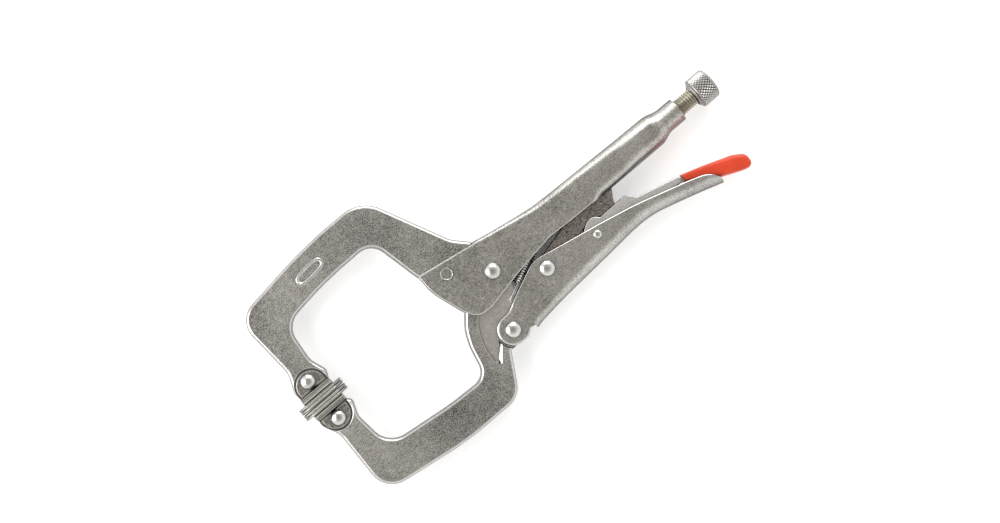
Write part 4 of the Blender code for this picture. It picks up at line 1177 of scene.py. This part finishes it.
def screw_knob():
    """The knob: turned nose, diamond knurl, rounded back and a dished end face."""
    around = 28
    segments = 4 * around
    step = 2.0 * math.pi * KNOB_RADIUS / segments
    depth = 0.6
    bore = SPINDLE_RADIUS + 0.05
    thread_bore = THREAD_RADIUS + GAP
    back_corner = 2.2
    nose = [
        (2.0, bore), (2.0, thread_bore), (0.0, thread_bore), (0.0, 5.9), (0.2, 6.2), (0.75, 6.75),
        (0.85, 6.85), (1.2, 7.7), (1.55, 8.25), (1.75, 8.35), (1.85, 8.2),
    ]
    profile = [(KNOB_START_X + x, radius, 0.0) for x, radius in nose]
    knurl_end = KNOB_END_X - back_corner
    count = 4 * round((knurl_end - KNURL_START_X) / step / 4.0)
    first_knurl = len(profile)
    for index in range(count + 1):
        x = KNURL_START_X + (knurl_end - KNURL_START_X) * index / count
        profile.append((x, KNOB_RADIUS, 1.0))
    for index in range(1, 11):
        angle = math.pi / 2.0 * index / 10.0
        profile.append((
            knurl_end + back_corner * 0.92 * math.sin(angle),
            KNOB_RADIUS - back_corner + back_corner * math.cos(angle),
            max(0.0, 1.0 - index / 8.0)))
    last_knurl = len(profile) - 1
    profile += [
        (KNOB_END_X, 6.2, 0.0), (KNOB_END_X, 5.7, 0.0), (KNOB_END_X - 0.2, 5.3, 0.0),
        (KNOB_END_X - 0.2, bore, 0.0),
    ]

    def valley(turn, index):
        """How deep a lattice place lies: 1 on the diamonds' grooves, 0 on their tops."""
        first = abs(((turn + index) / 4.0) % 1.0 - 0.5) * 2.0
        second = abs(((turn - index) / 4.0) % 1.0 - 0.5) * 2.0
        return max(first, second)

    bm = bmesh.new()
    rings = []
    for turn in range(segments):
        angle = 2.0 * math.pi * turn / segments
        ring = []
        for index, (x, radius, amount) in enumerate(profile):
            radius -= depth * amount * max(0.0, valley(turn, index - first_knurl) - 0.2) / 0.8
            ring.append(bm.verts.new((
                x, SCREW_AXIS_Y + radius * math.cos(angle), radius * math.sin(angle))))
        rings.append(ring)
    total = len(profile)
    for turn in range(segments):
        near = rings[turn]
        far = rings[(turn + 1) % segments]
        for index in range(total):
            following = (index + 1) % total
            a, b, c, d = near[index], near[following], far[following], far[index]
            if not first_knurl <= index < last_knurl:
                bm.faces.new((a, b, c, d))
                continue
            place = index - first_knurl
            level = valley(turn, place) + valley(turn + 1, place + 1)
            other = valley(turn, place + 1) + valley(turn + 1, place)
            straight = abs(valley(turn, place) - valley(turn + 1, place + 1)) < 0.1
            halves = ((a, b, c), (a, c, d)) if straight else ((a, b, d), (b, c, d))
            for corners in halves:
                face = bm.faces.new(corners)
                # Faces deep in the grooves get the painted groove shade.
                face.material_index = 1 if max(level, other) > 1.6 else 0
    knob = to_object("screw_knob_knurled", bm, (knob_zinc, knurl_groove_shade))
    finish_piece(knob, "screw", ["screw_knob"], 20.0)


# ---------------------------------------------------------------- pads

# Sections of a pad's side wall and of its ear's neck: height, z, fillet radius.
PAD_WALL_OUTLINE = [
    (2.5, 5.5, 0), (2.5, 9.0, 0), (3.4, 9.0, 0.1), (3.6, 7.9, 0.1), (3.85, 9.3, 0.2),
    (4.35, 9.95, 0.5), (4.95, 9.3, 0.3), (5.2, 8.1, 0.1), (6.0, 7.9, 0.1), (6.2, 8.7, 0.3),
    (6.6, 8.7, 0.3), (7.1, 5.5, 0),
]
PAD_NECK_OUTLINE = [
    (6.0, 5.5, 0), (6.0, 8.0, 0), (6.7, 8.45, 0.4), (7.9, EAR_OUTER, 0.5), (8.4, EAR_OUTER, 0),
    (8.4, EAR_INNER, 0), (7.0, EAR_INNER, 0.6), (6.6, 5.0, 0.6),
]


def side_bar(corners, half_length, side, chamfer):
    """A bar along X with a (height, z) section and chamfered ends, on one side of the jaw."""
    fillets = corner_arcs([(height, side * z, radius) for height, z, radius in corners])
    bm = bmesh.new()
    rings = []
    for x, inset in ((-half_length, chamfer), (chamfer - half_length, 0.0),
                     (half_length - chamfer, 0.0), (half_length, chamfer)):
        rings.append([bm.verts.new((x, height, z)) for height, z in outline_at(fillets, inset)])
    skin(bm, rings)
    close_ends(bm, rings)
    return weld(bm)


def foot_levels():
    """The round foot with two straight sides, as outlines at heights: rounded rims, one groove."""
    def ring(inset):
        places = []
        flat = PAD_FLAT_HALF - inset
        reach = math.acos(flat / (PAD_RADIUS - inset))
        for middle in (0.0, math.pi):
            lean = math.pi / 2.0 - reach
            places += arc((0.0, 0.0), PAD_RADIUS - inset, middle - lean, middle + lean, 24)
        return places

    height = PAD_DISC_HEIGHT
    return [
        (0.0, ring(0.9)), (0.15, ring(0.45)), (0.4, ring(0.15)), (0.7, ring(0.0)),
        (1.0, ring(0.0)), (1.3, ring(0.12)), (1.5, ring(0.3)), (1.75, ring(0.55)),
        (2.0, ring(0.25)), (2.2, ring(0.08)), (2.5, ring(0.0)), (height - 0.4, ring(0.0)),
        (height - 0.15, ring(0.15)), (height, ring(0.5)),
    ]


def swivel_pad(name, face_y, direction, body, node):
    """A pad: grooved round foot, two ribbed walls and two ears that straddle the jaw's tip."""
    foot = stacked(foot_levels(), "Y")
    # The foot's edge next to the gripping face gets the painted shade.
    for face in foot.faces:
        if len(face.verts) == 4 and face.calc_center_median().y < 0.3:
            face.material_index = 3
    pad = to_object(name, foot, (pad_metal, pad_metal, pad_ear, pad_edge_shade))
    lean = math.asin((EAR_CENTRE_HEIGHT - EAR_CHORD_HEIGHT) / EAR_RADIUS)
    half = (EAR_OUTER - EAR_INNER) / 2.0
    middle = (EAR_OUTER + EAR_INNER) / 2.0
    for side in (-1.0, 1.0):
        join(pad, side_bar(PAD_WALL_OUTLINE, WALL_HALF_WIDTH, side, 0.35))
        join(pad, side_bar(PAD_NECK_OUTLINE, EAR_CHORD_HALF, side, 0.2))
        levels = []
        for z, inset in ((-half, 0.3), (0.3 - half, 0.0), (half - 0.55, 0.0), (half - 0.15, 0.16),
                         (half, 0.5)):
            outline = arc((0.0, EAR_CENTRE_HEIGHT), EAR_RADIUS - inset, -lean, math.pi + lean, 44)
            levels.append((side * (middle + z), outline))
        join(pad, stacked(levels, "Z", 2))
    drill(pad, (0.0, PAD_RIVET_HEIGHT), PAD_RIVET_SHANK + GAP)
    merge_flats(pad)
    turn = Matrix.Rotation(0.0 if direction > 0 else math.pi, 4, "Z")
    there = Matrix.Translation(Vector((PAD_X, face_y, 0.0)) * MM)
    shift = Matrix.Translation(SHIFT * MM)
    pad.data.transform(shift @ there @ turn @ shift.inverted())
    finish_piece(pad, body, [node], 30.0)


# ---------------------------------------------------------------- build

upper_handle()
lower_handle()
fixed_jaw()
moving_jaw()
toggle_link()
release_lever()
release_lever_grip()
return_spring()
fixed_pin()
for name, centre, seat, shank, head, dome, body, node in RIVETS:
    rivet(name, centre, seat, shank, head, dome, body, node)
screw_pilot()
adjusting_screw()
screw_knob()
swivel_pad("upper_swivel_pad", UPPER_PAD_FACE_Y, 1, "upper_pad", "upper_pad")
swivel_pad("lower_swivel_pad", LOWER_PAD_FACE_Y, -1, "lower_pad", "lower_pad")


# ---------------------------------------------------------------- studio

PICTURE_TURN = math.radians(40.5)
CAMERA_PLACE = Vector((-87.5, 12.85, 1141.0)) * MM
CAMERA_TARGET = Vector((-8.3, -5.95, 11.0)) * MM
CAMERA_LENS = 77.4
LIGHT_DISTANCE = 1.1
LIGHT_SIZE = (0.9, 0.9)
# The sky from the horizon (0) to straight above (1): bright low down, dark overhead, so that the
# flat faces come out grey and their rounded rims bright.
SKY_STOPS = [
    (0.02, (0.62, 0.62, 0.61)), (0.25, (1.0, 1.0, 0.99)), (0.62, (0.95, 0.95, 0.93)),
    (0.78, (0.72, 0.715, 0.69)), (0.9, (0.47, 0.46, 0.425)), (1.0, (0.30, 0.29, 0.26)),
]
FLOOR_GLOW = 0.4
# The patch of floor under the linkage that stays dim: its middle and its half sizes, in metres.
DIM_PATCH_MIDDLE = (0.015, -0.0152, 0.0)
DIM_PATCH_SIZE = (0.034, 0.012, 1.0)
DIM_PATCH_EDGE = (0.85, 1.2)


def look_at(thing, target, up):
    """Aim the thing's -Z at a point, with its +Y as close to up as it can be."""
    back = (thing.location - target).normalized()
    right = up.cross(back).normalized()
    true_up = back.cross(right)
    thing.rotation_mode = "QUATERNION"
    thing.rotation_quaternion = Matrix((right, true_up, back)).transposed().to_quaternion()


def softbox(name, direction, power):
    data = bpy.data.lights.new(name, "AREA")
    data.shape = "RECTANGLE"
    data.size, data.size_y = LIGHT_SIZE
    data.energy = power
    light = bpy.data.objects.new(name, data)
    bpy.context.scene.collection.objects.link(light)
    light.location = Vector(direction).normalized() * LIGHT_DISTANCE
    look_at(light, Vector((0.0, 0.0, 0.01)), Vector((0.0, 0.0, 1.0)))


def floor_paper():
    """Pale paper that glows a little, which keeps shadows faint, except under the linkage."""
    nodes = material_nodes("floor_paper")
    nodes.fix(Base_Color=(0.9, 0.9, 0.9, 1), Roughness=0.8, Emission_Color=(1, 1, 1, 1))
    place = nodes.make("Mapping", "Vector", {
        "Vector": nodes.where, "Location": DIM_PATCH_MIDDLE, "Scale": DIM_PATCH_SIZE,
    }, vector_type="TEXTURE")
    away = nodes.make("VectorMath", "Value", {0: place}, operation="LENGTH")
    nodes.feed("Emission Strength", nodes.spread(away, *DIM_PATCH_EDGE, 0.0, FLOOR_GLOW))
    return nodes.holder


def studio():
    scene = bpy.context.scene
    data = bpy.data.cameras.new("camera")
    data.lens = CAMERA_LENS
    data.sensor_width = 36.0
    data.clip_start, data.clip_end = 0.05, 20.0
    camera = bpy.data.objects.new("camera", data)
    scene.collection.objects.link(camera)
    camera.location = CAMERA_PLACE
    look_at(camera, CAMERA_TARGET, Vector((math.sin(PICTURE_TURN), math.cos(PICTURE_TURN), 0.0)))
    scene.camera = camera

    softbox("softbox_left", (-0.709, 0.41, 0.574), 6.8)
    softbox("softbox_top", (0.579, 0.666, 0.469), 5.6)

    sky = Nodes(bpy.data.worlds.new("studio"), "Background")
    sky.fix(Strength=1.0)
    height = sky.make("SeparateXYZ", "Z", {"Vector": sky.direction})
    sky.feed("Color", sky.shades(height, SKY_STOPS))
    scene.world = sky.holder
    scene.view_settings.view_transform = "Standard"

    bm = bmesh.new()
    bmesh.ops.create_grid(bm, x_segments=2, y_segments=2, size=3.0)
    mesh = bpy.data.meshes.new("floor")
    bm.to_mesh(mesh)
    bm.free()
    floor = bpy.data.objects.new("floor", mesh)
    scene.collection.objects.link(floor)
    mesh.materials.append(floor_paper())


studio()
